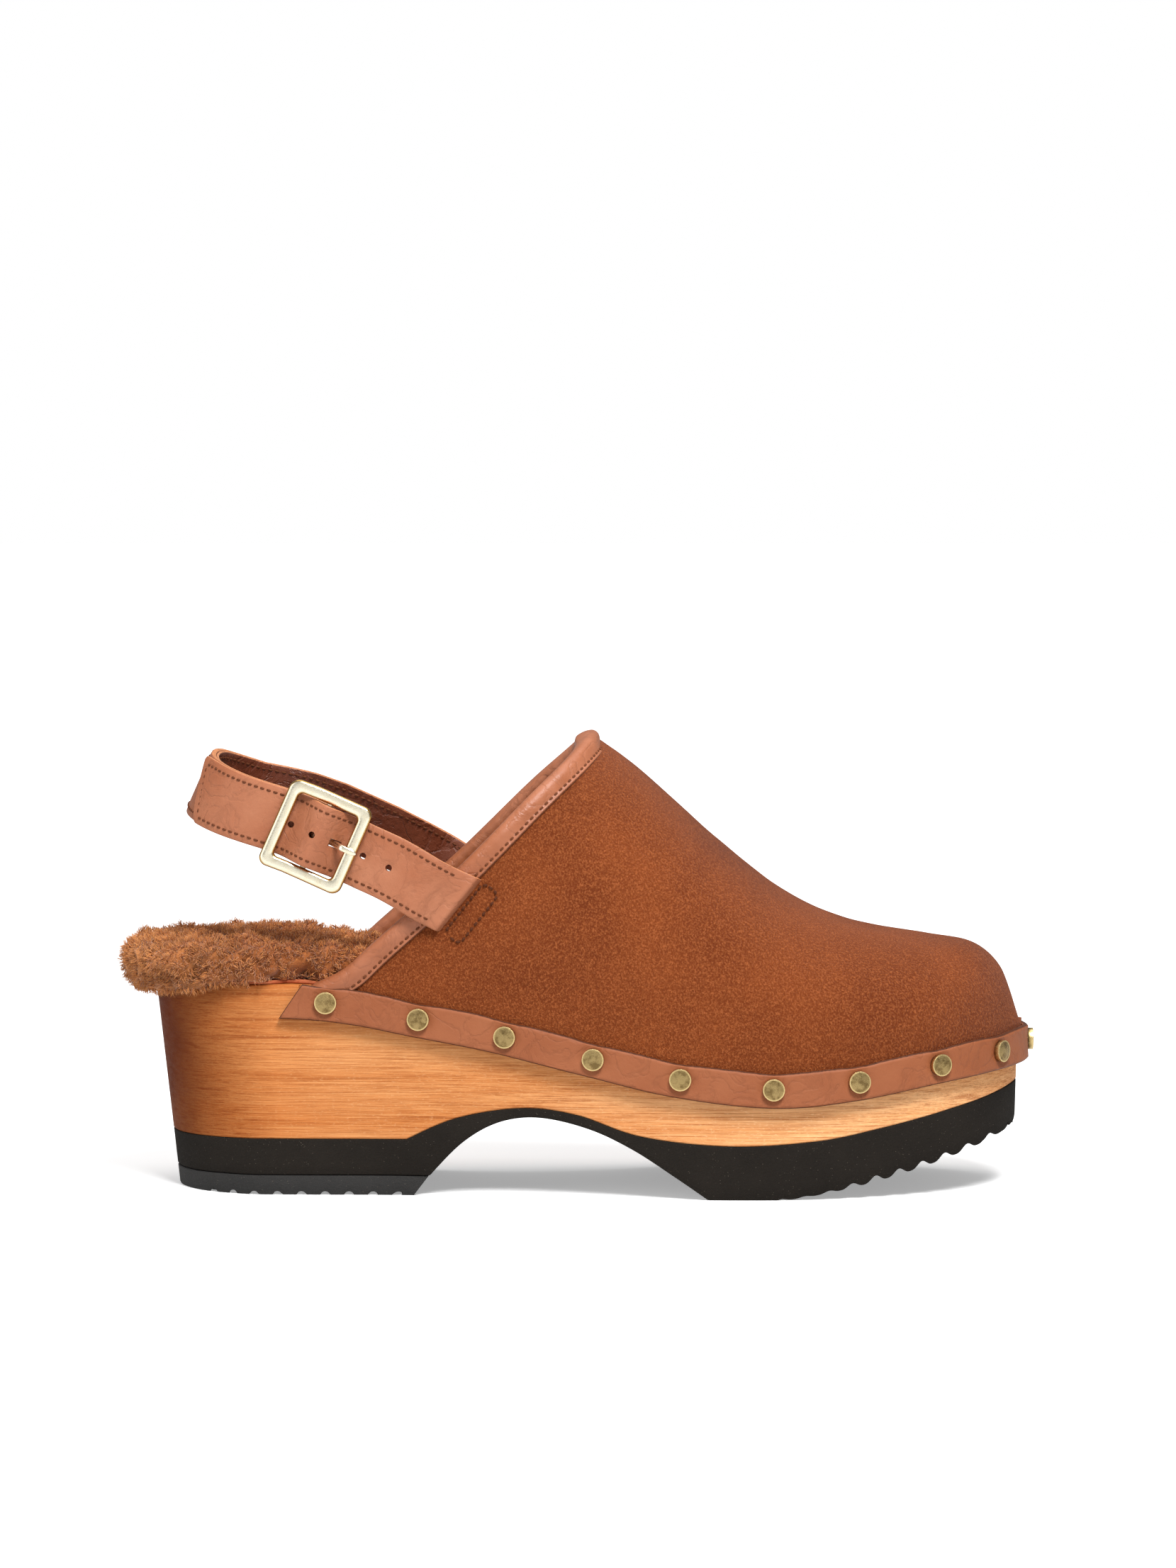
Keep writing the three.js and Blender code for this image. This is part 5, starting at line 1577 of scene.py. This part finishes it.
@dataclass
class Straps:
    """Sling and billet, each leather over a lining, stitched, punched and let into the slits."""

    bench: Bench
    width: float = 19.0
    leather: float = 1.4
    under: float = 0.9
    reach: float = 83.0
    bar_back: float = 46.1
    bend_back: float = 56.0
    bar: float = 1.8
    fit: float = 0.25
    wrap: float = 1.1
    rails: float = 2.2
    turn: float = math.radians(6)
    end_share: float = 0.34
    hump_half: float = 9.0
    punch: float = 0.98
    glue: float = 0.12
    punched: tuple = (-8.3, -0.9, 14.6, 22.9)
    under_frame: float = -0.9

    def __post_init__(self) -> None:
        """Works out the runs, like the strap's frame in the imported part."""
        b = self.bench
        self.ply = self.leather + LINES.gap + self.under
        self.second = self.ply + LINES.gap
        self.seat = 2 * self.ply + LINES.gap + 0.6
        self.level = self.seat + self.rails / 2 - 1.3
        self.run = np.array([math.cos(self.turn), -math.sin(self.turn)])
        self.out = np.array([self.run[1], -self.run[0]])
        x = b.slit[0]
        outer = float(LINES.half_width(Side.OUTER, LINES.proud, x))
        inner = float(LINES.half_width(Side.INNER, LINES.proud, x))
        stand = 1.2 + LINES.gap + 0.6 - 1
        face = outer - stand
        start = face - self.bar_back / self.run[0] * self.run[1] - self.second * self.out[1]
        self.foot = np.array([-self.bar_back, start])
        self.inner_face = inner + stand + 1.1
        self.slant = math.tan(b.slit_lean - b.rise)
        self.half_bend = -(self.foot + self.run * (self.bar_back - self.bend_back))[1]
        self.hump = self.level + self.bar / 2 + self.fit + self.wrap + LINES.gap - self.second
        self.seam_at = self.width / 2 - 2.0

    def sag(self, x: Array, y: Array) -> Array:
        """How far a worn strap hangs or stands off its flat plane: it droops round the heel."""
        back = ramp(self.bar_back + 4, self.reach - 3, -x)
        outer = ramp(-12, 12, y)
        near = -1.9 * (1 - outer) * ramp(-26, -3, x)
        far = np.interp(-x, (0, 8, 18, 28, 45, 55, 70), (0, 1.1, 2.2, 3.0, 3.3, 2.6, 0.4))
        return near - 2.7 * back * (1 - 0.5 * outer) + outer * far

    def to_clog(self, points: Array) -> Array:
        """Points of the strap's frame in the clog's own millimetres."""
        x, y, z = np.moveaxis(np.asarray(points, float), -1, 0)
        z = z + self.sag(x, y)
        y = y - 0.36 * z * ramp(5, 20, y) * ramp(4, 26, -x) * (1 - ramp(50, 72, -x))
        c, s = math.cos(self.bench.rise), math.sin(self.bench.rise)
        return self.bench.slit + np.stack([x * c + z * s, y, -x * s + z * c], -1)

    def run_point(self, s: float, out: float) -> Array:
        """A point of the outer run: towards the toe from the bar, and out from the sling's inside face."""
        return self.foot + self.run * s + self.out * out

    def bend(self, share: float = 1.0, count: int = 60) -> Array:
        """The round behind the heel, from the outer side on."""
        turn = np.pi * (1.5 - np.linspace(0, share, count))
        far = self.reach - self.bend_back
        return np.stack([-self.bend_back + far * np.cos(turn), self.half_bend * np.sin(turn)], 1)

    def smooth_line(self, line: Array, step: float = 0.55) -> Array:
        """Even steps along a line, its corners eased."""
        s = arc_lengths(line)
        line = at_lengths(line, np.linspace(0, s[-1], int(s[-1] / step)))
        for _ in range(14):
            line[1:-1] = (line[:-2] + 2 * line[1:-1] + line[2:]) / 4
        return line

    def normals(self, line: Array) -> Array:
        """Directions away from the foot."""
        t = unit(np.gradient(line, axis=0))
        return np.stack([t[:, 1], -t[:, 0]], 1)

    def band(self, line: Array, low: Array, high: Array, half: Array, hollow: Array | None = None,
             across: int = 16, slant: Array | None = None, end_cut: float = 0.0) -> Shape:
        """A strip of leather along a line, with rounded edges.

        Args:
            line: Plan line in the strap's frame.
            low: Distance of the strip's back from the line.
            high: Distance of its face.
            half: Half its width at every point.
            hollow: How far each place of the strip is pushed out, by line points and places across.
            across: Steps across the strip.
            slant: Shift along X for each mm across.
            end_cut: How far the first end is cut at a slant, for each mm across.

        Returns:
            The strip.
        """
        out = self.normals(line)
        r = 0.34
        low, high, half = (np.broadcast_to(np.asarray(v, float), (len(line),)) for v in (low, high, half))
        v = np.linspace(-1, 1, across + 1)
        s_line = arc_lengths(line)
        flat = v[None, :] * (half - r)[:, None]
        ones = np.ones_like(flat)
        push = np.zeros_like(flat) if hollow is None else hollow
        corner = [(-0.3 * r, 1, -0.3 * r), (0, 1, -r), (0, 0.5, 0), (0, 0, r), (-0.3 * r, 0, 0.3 * r)]
        right_z = np.stack([half + dz for dz, _, _ in corner], 1)
        right_n = np.stack([low + (high - low) * t + dn for _, t, dn in corner], 1)
        z = np.hstack([flat, right_z, flat[:, ::-1], -right_z[:, ::-1]])
        n = np.hstack([high[:, None] * ones + push, right_n + push[:, -1:],
                       low[:, None] * ones + push[:, ::-1], right_n[:, ::-1] + push[:, :1]])
        mask = np.concatenate([0 * v, [0.35, 1, 1, 1, 0.6], 0 * v, [0.6, 1, 1, 1, 0.35]])
        base, away = line[:, None, :], out[:, None, :]
        if end_cut:
            moved = s_line[:, None] + end_cut * z * (1 - ramp(0, 16, s_line))[:, None]
            base = columns(moved, s_line, line)
            away = columns(moved, s_line, out)
            before = np.minimum(moved, 0)[..., None]
            base = base + before * unit(line[1] - line[0])
        plan = base + away * n[..., None]
        x = plan[..., 0] + (0 if slant is None else slant[:, None] * z)
        loops = self.to_clog(np.stack([x, plan[..., 1], z], -1))
        return tube(loops, {"edge": np.tile(mask, (len(line), 1))})

    def billet_line(self) -> tuple[Array, Array, Array]:
        """The billet's plan line from its free end to the slit, its rise, and its run distances."""
        far = self.bar_back / self.run[0]
        run = np.array([self.run_point(s, 0) for s in np.linspace(-9.9, far, 110)])
        line = self.smooth_line(np.vstack([self.bend(self.end_share)[::-1], run[1:]]))
        s = ((line - self.foot) * self.run).sum(1)
        swell = np.cos(np.clip(np.abs(s) / self.hump_half, 0, 1) * np.pi / 2) ** 2
        return line, self.second + swell * self.hump, s

    def dive(self, s: Array) -> Array:
        """How far a strap's end is let in towards the foot near its slit, at distances behind it."""
        return -2.5 * ramp(-12, -2.5, s) - 5.0 * ramp(-1.6, 0.7, s)

    def sling_line(self) -> Array:
        """The sling's plan line from the inner slit round the heel to just behind the bar."""
        x = np.linspace(0, -self.bend_back, 60)
        share = ((-x - 10) / (self.bend_back - 10)).clip(0, 1)
        inner = np.stack([x, mix(self.inner_face, self.half_bend, share)], 1)
        run = np.array([self.run_point(s, 0) for s in np.linspace(-9.9, -1.5, 16)])
        return self.smooth_line(np.vstack([inner, self.bend()[::-1][1:], run[1:]]))

    def creases(self, line: Array, s: Array, holes: tuple = (), across: int = 16, seed: float = 0.0) -> Array:
        """Small rises and dips of a strap's face: soft waves, folds across it and dips round the holes."""
        v = np.linspace(-1, 1, across + 1)
        length = np.broadcast_to(s[:, None], (len(s), across + 1))
        wide = np.broadcast_to(v * self.width / 2, length.shape)
        at = np.stack([length, wide * 0.6, np.full_like(length, seed)], -1)
        push = 0.16 * wobble(at, 9.0, seed) + 0.07 * wobble(at * [1.6, 0.5, 1], 2.6, seed + 3)
        push = push - 0.22 * np.abs(v) ** 5
        for hole in holes:
            near = np.hypot(length - hole, wide)
            push = push - 0.3 * np.exp(-((near / 2.0) ** 2)) + 0.1 * np.exp(-(((near - 3.4) / 1.5) ** 2))
        return push

    def build(self) -> None:
        """Makes the straps."""
        self.billet()
        self.sling()

    def flex(self, piece: Piece) -> None:
        """Bakes a strap piece's placement into its points; the ends at its slit are worked out but not used.
        """
        b = self.bench
        start, end = (Vector(b.to_frame(self.to_clog([x, 0, 0]))) for x in (0.0, -13.0))
        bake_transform(piece)
        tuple(start)
        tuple(end)

    def billet(self) -> None:
        """The punched billet: leather, lining and stitches."""
        line, rise, s = self.billet_line()
        finish = self.bench.finishes
        far = s[-1]
        tail = at_lengths(np.vstack([line[-1], line[-1] + self.run * 3.2]), np.linspace(0.4, 3.2, 7))
        line = np.vstack([line, tail])
        s = ((line - self.foot) * self.run).sum(1)
        rise = np.concatenate([rise, np.full(7, rise[-1])])
        low = rise + self.dive(s - far)
        along = arc_lengths(line)
        end = (1 - (along / 1.0).clip(0, 1)) ** 2
        half = self.width / 2 - 0.9 * end - 0.5 * ramp(-1.5, 1.0, s - far)
        slant = self.slant * ramp(-11, -1, s - far)
        holes = (-8.3, 6.85, 14.6, 22.9)
        push = self.creases(line, s, holes) - 0.4 * np.exp(-(((np.abs(s) - 11.4) / 2.4) ** 2))[:, None]
        folds = [(15.0, 1.5, 0.28), (12.2, 1.0, 0.16), (far - 7.5, 1.6, 0.3), (far - 4.2, 1.0, 0.22)]
        v = np.linspace(-1, 1, 17)
        for centre, wide, deep in folds:
            shift = (s[:, None] - centre - v * 1.1) / wide
            push = push - deep * np.exp(-(shift**2)) * (0.35 + 0.65 * (v < 0.3))
        cut = -0.42
        ends = {"slant": slant, "end_cut": cut}
        top = self.band(line, low + self.under + self.glue, low + self.ply, half, push, **ends)
        lining = self.plies(line, low, half, push * 0.8, **ends)
        holes = self.hole_cutters()
        self.lay("billet_leather", top, finish.strap, "tan_leather", "billet_strap", "billet_strap_tail",
                 holes=holes)
        self.lay("billet_lining", lining, finish.strap_under, "lining", "billet_strap_lining", holes=holes)
        part = slice(np.searchsorted(along, 2.2), np.searchsorted(s, far - 5.2))
        rows, first = [], []
        for z in (-self.seam_at, self.seam_at):
            rise = low + self.ply + push[:, self.column(z)] + 0.02
            points, up = self.seam_line(line, rise, z, slant, cut)
            rows.append(stitch_row(points[part], up[part]))
            first.append((points[part][0], up[part][0]))
        side = np.linspace(first[0][0], first[1][0], 12)
        rows.append(stitch_row(side, np.tile(first[0][1], (12, 1))))
        self.lay("billet_stitches", join(rows), finish.thread, "tan_leather", merge=0)

    def plies(self, line: Array, low: Array, half: Array, push: Array, **ends: object) -> Shape:
        """The lining under a strap's leather."""
        return self.band(line, low, low + self.under + self.glue / 2, half - 0.15, push, **ends)

    def lay(self, name: str, shape: Shape, material: Material, slot: str, *nodes: str,
            holes: Shape | None = None, merge: float = 0.004) -> None:
        """Makes a strap's piece, punches it and bakes its placement into its points.

        Args:
            name: The piece's name.
            shape: Its shape.
            material: Its finish.
            slot: The record's material slot; not used.
            nodes: CAD nodes that it stands for.
            holes: Cutters to take out of it.
            merge: Points closer than this become one, in mm.
        """
        made = self.bench.piece(name, shape, material, slot, *nodes, body=None, merge=merge,
                                angle=55 if merge else 60)
        if holes is not None:
            self.bench.cut(made, holes)
        self.flex(made)

    def column(self, z: float) -> int:
        """The place across a band's face that lies at height z."""
        return int(round((z / (self.width / 2 - 0.34) + 1) * 8))

    def seam_line(self, line: Array, rise: Array, z: float, slant: Array,
                  cut: float = 0.0) -> tuple[Array, Array]:
        """A seam along a strap.

        Args:
            line: The strap's plan line.
            rise: Distance of the seam from that line.
            z: Height across the strap.
            slant: Shift along X for each mm across.
            cut: How far the first end is cut at a slant, for each mm across.

        Returns:
            The seam's points and the directions away from the foot there.
        """
        out = self.normals(line)
        plan = line + out * rise[:, None]
        if cut:
            along = arc_lengths(line)
            moved = along + cut * z * (1 - ramp(0, 16, along))
            plan = columns(moved, along, plan)
            plan = plan + np.minimum(moved, 0)[:, None] * unit(line[1] - line[0])
        points = np.column_stack([plan[:, 0] + slant * z, plan[:, 1], np.full(len(plan), z)])
        away = self.to_clog(np.column_stack([out, np.zeros(len(out))])) - self.to_clog([0, 0, 0])
        return self.to_clog(points), away

    def drill(self, s: Array, z: Array, low: float, high: float) -> Shape:
        """A closed cutter through the outer run.

        Args:
            s: Run distances of its outline.
            z: Heights across the strap of its outline.
            low: Depth where it starts.
            high: Depth where it ends.

        Returns:
            The cutter.
        """
        plan = np.array([self.run_point(at, 0) for at in s])
        loops = [np.column_stack([plan + self.out * d, z]) for d in (low, high)]
        return tube(self.to_clog(np.array(loops)))

    def hole_cutters(self) -> Shape:
        """Round punches through the billet and the long hole for the prong."""
        turn = full_turn(32)
        across = self.punch * np.sin(turn)
        shapes = []
        for s in self.punched:
            depth = self.second + (self.hump if s == self.under_frame else 0)
            shapes.append(self.drill(s + self.punch * np.cos(turn), across, depth - 3, depth + 7))
        slot = (1.6 * np.cos(turn)).clip(-1, 1) * 1.6 + 5.9
        tall = (1.4 * np.sin(turn)).clip(-1, 1) * 1.2
        return join(shapes + [self.drill(slot, tall, self.second + 0.2, 12.0)])

    def sling(self) -> None:
        """The sling: its leather turned round the buckle's bar, its lining and its stitches."""
        line = self.sling_line()
        finish = self.bench.finishes
        along = arc_lengths(line)
        head = np.array([[0.4 * k, self.inner_face] for k in range(8, 0, -1)])
        line = np.vstack([head, line])
        along = np.concatenate([-head[:, 0], along])
        dive = np.where(line[:, 1] > 0, self.dive(-along), 0)
        half = self.width / 2 - 0.5 * ramp(-1.5, 1.0, -along)
        slant = self.slant * ramp(-11, -1, -along)
        push = self.creases(line, along, seed=21.0) * 0.8
        lining = self.plies(line, dive, half, push * 0.6, slant=slant)
        self.lay("sling_lining", lining, finish.sling_inside, "lining", "sling_strap_lining")
        thick = (self.ply - self.under - self.glue) / 2
        centre = line + self.normals(line) * (self.under + self.glue + thick + dive)[:, None]
        keep = ((centre - self.foot) * self.run).sum(1) < -5.0
        keep |= centre[:, 1] > 0
        radius = self.bar / 2 + self.fit + self.wrap / 2
        round_bar = [(-3.4, 2.9), (-2.0, 3.75)]
        round_bar += [(radius * math.cos(t), self.level + radius * math.sin(t))
                      for t in np.radians(np.linspace(-100, 120, 30))]
        round_bar += [(-1.9, self.level + 0.7), (-2.9, self.level - 0.8), (-4.0, self.level - 2.0),
                      (-5.4, 3.25)]
        loop = np.array([self.run_point(a, n) for a, n in round_bar])
        kept = centre[keep]
        whole = self.smooth_line(np.vstack([kept, loop]), 0.4)
        t = arc_lengths(whole)
        join_at = arc_lengths(np.vstack([kept, loop]))[len(kept)]
        thin = mix(thick, self.wrap / 2, (t - join_at + 3) / 6) * (1 - 0.6 * ramp(t[-1] - 5, t[-1], t))
        ease = lambda v: np.interp(t, np.linspace(0, join_at, len(kept)), v[keep])
        fade = 1 - ramp(join_at - 6, join_at, t)
        hollow = np.stack([ease(push[:, k]) for k in range(push.shape[1])], 1) * fade[:, None]
        leather = self.band(whole, -thin, thin, ease(half), hollow, slant=ease(slant))
        window = self.drill(np.array([-3.5, 6, 6, -3.5]), np.array([-1.6, -1.6, 1.6, 1.6]), 0, 12)
        self.lay("sling_leather", leather, finish.strap, "tan_leather", "sling_strap", "sling_strap_tail",
                 holes=window)
        rows = []
        last = np.nonzero(((line - self.foot) * self.run).sum(1) < -3)[0][-1]
        first = np.searchsorted(along, 5.0)
        for z in (-self.seam_at, self.seam_at):
            soft = push[:, self.column(z)]
            for level, sign, stop in ((self.ply + soft, 1, last - 20), (soft * 0.6, -1, last)):
                points, up = self.seam_line(line, dive + level + sign * 0.02, z, slant)
                rows.append(stitch_row(points[first:stop], up[first:stop] * sign))
        self.lay("sling_stitches", join(rows), finish.thread, "tan_leather", merge=0)


@dataclass
class Buckle:
    """Cast frame with its centre bar, and the prong bent round the bar."""

    bench: Bench
    straps: Straps
    length: float = 25.8
    width: float = 27.2
    rail: float = 3.6
    raised: float = 0.35
    prong: float = 1.9

    def build(self) -> None:
        """Makes the frame and the prong."""
        finish = self.bench.finishes
        for name, shape, node, body in (
                ("buckle_ring", join([self.ring(), self.bar()]), "buckle_frame", Body.BUCKLE),
                ("buckle_tongue", self.tongue(), "buckle_prong", Body.PRONG)):
            self.bench.piece(name, shape, finish.satin, "brass", node, body=body, angle=50)

    def rounded(self, length: float, width: float, corner: float, per: int = 10) -> Array:
        """A rounded rectangle, its points at the same turns for every size."""
        points, half, tall = [], length / 2 - corner, width / 2 - corner
        signs = ((1, 1), (-1, 1), (-1, -1), (1, -1))
        for quarter, (a, b) in enumerate(signs):
            for t in np.linspace(0, math.pi / 2, per):
                turn = t + quarter * math.pi / 2
                points.append((a * half + corner * math.cos(turn), b * tall + corner * math.sin(turn)))
            a, b = signs[(quarter + 1) % 4]
            turn = (quarter + 1) * math.pi / 2
            goal = np.array((a * half, b * tall)) + corner * np.array([math.cos(turn), math.sin(turn)])
            here = np.array(points[-1])
            points.extend([tuple(here + (goal - here) * k) for k in (0.25, 0.5, 0.75)])
        return np.array(points)

    def ring(self) -> Shape:
        """The frame, pillowed on its face and softly rounded below."""
        deep = self.straps.rails
        profile = [(0.0, 0.5), (0.03, 0.25), (0.14, 0.06), (0.3, 0.0), (0.7, 0.0), (0.86, 0.06),
                   (0.97, 0.25), (1.0, 0.5), (0.985, 0.7), (0.93, 0.86), (0.8, 0.97), (0.6, 1.0),
                   (0.4, 1.0), (0.2, 0.97), (0.07, 0.86), (0.015, 0.7)]
        outer = self.rounded(self.length, self.width, 2.9)
        inner = self.rounded(self.length - 2 * self.rail, self.width - 2 * self.rail, 1.5)
        loops = []
        for share, level in profile:
            plan = outer + (inner - outer) * share
            n = self.straps.seat + self.raised + deep * level
            flat = np.array([self.straps.run_point(s, n) for s in plan[:, 0]])
            loops.append(self.straps.to_clog(np.column_stack([flat, plan[:, 1]])))
        # Sides and underside get the darker rim colour; the flat face keeps the near-white colour, a painted
        # reflection.
        rim = np.array([abs(share - 0.5) > 0.36 or level < 0.9 for share, level in profile], float)
        return tube(np.array(loops), {"edge": np.tile(rim[:, None], len(outer))}, hoop=True)

    def bar(self) -> Shape:
        """The round bar between the side rails."""
        turn = full_turn(20)
        r = self.straps.bar / 2
        half = self.width / 2 - self.rail / 2
        st = self.straps
        plan = np.array([st.run_point(r * math.cos(t), st.level + r * math.sin(t)) for t in turn])
        ends = [np.column_stack([plan, np.full(len(plan), z)]) for z in (-half, half)]
        # The bar keeps the near-white colour, a painted reflection, all round.
        return tube(st.to_clog(np.array(ends)), {"edge": np.zeros((2, len(plan)))})

    def tongue(self) -> Shape:
        """The prong: flat wire round the bar, an arm through the hole, and a rounded tip on the rail."""
        st = self.straps
        ring = st.bar / 2 + st.fit + st.wrap / 2 + 0.1
        top = st.seat + st.rails + 0.95 + self.raised
        path = [(ring * math.cos(t), st.level + ring * math.sin(t))
                for t in np.radians(np.linspace(100, 350, 26))]
        path += [(2.9, st.level - 0.3), (4.6, st.level - 0.1), (6.0, st.level + 0.9), (7.2, st.level + 2.2)]
        path += [(8.4, top - 0.25), (9.6, top), (11.2, top + 0.02), (12.6, top - 0.1), (13.0, top - 0.16)]
        line = open_curve(path, 140)
        t = unit(np.gradient(line, axis=0))
        n = np.stack([-t[:, 1], t[:, 0]], 1)
        s = arc_lengths(line)
        thick = 0.55 + 0.18 * ramp(s[-1] * 0.6, s[-1] * 0.8, s)
        tip = np.sqrt((1 - ((s - s[-1] + 1.1) / 1.1).clip(0, 1) ** 2).clip(0.02))
        half = self.prong / 2 * (1 - 0.12 * ramp(s[-1] * 0.7, s[-1], s)) * tip
        turn = full_turn(16)
        cs = np.sign(np.cos(turn)) * np.abs(np.cos(turn)) ** 0.6
        sn = np.sign(np.sin(turn)) * np.abs(np.sin(turn)) ** 0.6
        rise = (thick * (0.6 + 0.4 * tip))[:, None, None]
        flat = line[:, None, :] + n[:, None, :] * rise * sn[None, :, None]
        plan = st.foot + flat[..., :1] * st.run + flat[..., 1:] * st.out
        return tube(st.to_clog(np.concatenate([plan, (half[:, None] * cs[None, :])[..., None]], -1)))


@dataclass
class Studio:
    """Pale floor, white surround, soft lamps and the camera."""

    bench: Bench
    distance: float = 1.8
    elevation: float = 5.5
    target: tuple = (2.601, 0.793, 65.0)
    lens: float = 139.5
    sensor: float = 36.0
    tilt: float = 86.19
    floor_seen: float = 0.93
    floor_bounce: float = 0.56
    glow_bounce: float = 0.55
    surround_light: float = 0.3

    def build(self) -> None:
        """Sets up the studio."""
        self.floor()
        self.surround()
        self.lamp("key_lamp", (220, -700, 950), (400, 400), 17.0)
        self.lamp("top_lamp", (0, 150, 1300), (1200, 900), 7.5)
        self.lamp("front_lamp", (0, -2000, 350), (1700, 1000), 2.6)
        self.lamp("fill_lamp", (-900, -500, 400), (800, 800), 2.6)
        up = math.radians(self.elevation)
        spot = Vector(self.target) * MM + self.distance * Vector((0, -math.cos(up), math.sin(up)))
        bpy.ops.object.camera_add(location=spot, rotation=(math.radians(self.tilt), 0, 0))
        camera = bpy.context.object
        camera.name = "camera_main"
        camera.data.lens = self.lens
        camera.data.sensor_width = self.sensor
        bpy.context.scene.camera = camera
        bpy.context.scene.view_settings.view_transform = "Standard"

    def floor(self) -> None:
        """A plain pale floor."""
        bpy.ops.mesh.primitive_plane_add(size=14, location=(0, 0, 0))
        floor = bpy.context.object
        floor.name = "floor"
        paint = bpy.data.materials.new("studio_floor")
        paint.use_nodes = True
        shader = paint.node_tree.nodes["Principled BSDF"]
        shader.inputs["Roughness"].default_value = 0.9
        shader.inputs["Specular IOR Level"].default_value = 0.1
        shader.inputs["Emission Strength"].default_value = 1.0
        graph = Graph(paint.node_tree)
        place = graph.put("TexCoord").outputs["Object"]
        away = graph.put("VectorMath", {"Vector": place}, operation="LENGTH").outputs["Value"]
        seen = graph.put("LightPath").outputs["Is Camera Ray"]
        share = graph.spread(seen, 0, 1, self.glow_bounce, 1.0)
        glow = graph.math("MULTIPLY", graph.spread(away, 0.3, 1.3, 0.34, 1.0), share)
        pale = graph.blend(seen, (*[self.floor_bounce] * 3, 1), (*[self.floor_seen] * 3, 1))
        paint.node_tree.links.new(pale, shader.inputs["Base Color"])
        paint.node_tree.links.new(glow, shader.inputs["Emission Color"])
        floor.data.materials.append(paint)
        floor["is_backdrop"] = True

    def surround(self) -> None:
        """Pure white where the camera looks past the floor, softer as a light."""
        world = bpy.data.worlds.new("surround")
        world.use_nodes = True
        bpy.context.scene.world = world
        graph = Graph(world.node_tree)
        white = {"Color": (1, 1, 1, 1)}
        light = graph.put("Background", {**white, "Strength": self.surround_light}).outputs[0]
        shown = graph.put("Background", {**white, "Strength": 1.0}).outputs[0]
        ray = graph.put("LightPath").outputs["Is Camera Ray"]
        mixed = graph.put("MixShader", {0: ray, 1: light, 2: shown}).outputs[0]
        graph.tree.links.new(mixed, graph.tree.nodes["World Output"].inputs["Surface"])

    def lamp(self, name: str, place: tuple, size: tuple, power: float) -> None:
        """A soft lamp aimed at the clog.

        Args:
            name: Its name.
            place: Where it hangs, in mm.
            size: Its width and height in mm.
            power: Watts.
        """
        spot = Vector(place) * MM
        aim = (Vector((0, 0, 0.06)) - spot).to_track_quat("-Z", "Y").to_euler()
        bpy.ops.object.light_add(type="AREA", location=spot, rotation=aim)
        lamp = bpy.context.object
        lamp.name = name
        lamp.data.shape = "RECTANGLE"
        lamp.data.size, lamp.data.size_y = size[0] * MM, size[1] * MM
        lamp.data.energy = power


def corners() -> list:
    """Lowest and highest corner of everything that shows, as plain lists."""
    return [[float(v) for v in corner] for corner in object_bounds()]


def main() -> None:
    """Builds the clog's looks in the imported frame."""
    logging.basicConfig(level=logging.INFO, format="%(name)s %(message)s")
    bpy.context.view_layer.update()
    bench = Bench(Finishes())
    straps = Straps(bench)
    upper = [kind(bench) for kind in (SoleUnit, Footbed, Upper, Rand)]
    for part in (*upper, straps, Buckle(bench, straps), Studio(bench)):
        LOG.info("building %s", type(part).__name__)
        part.build()


if __name__ == "__main__":
    main()
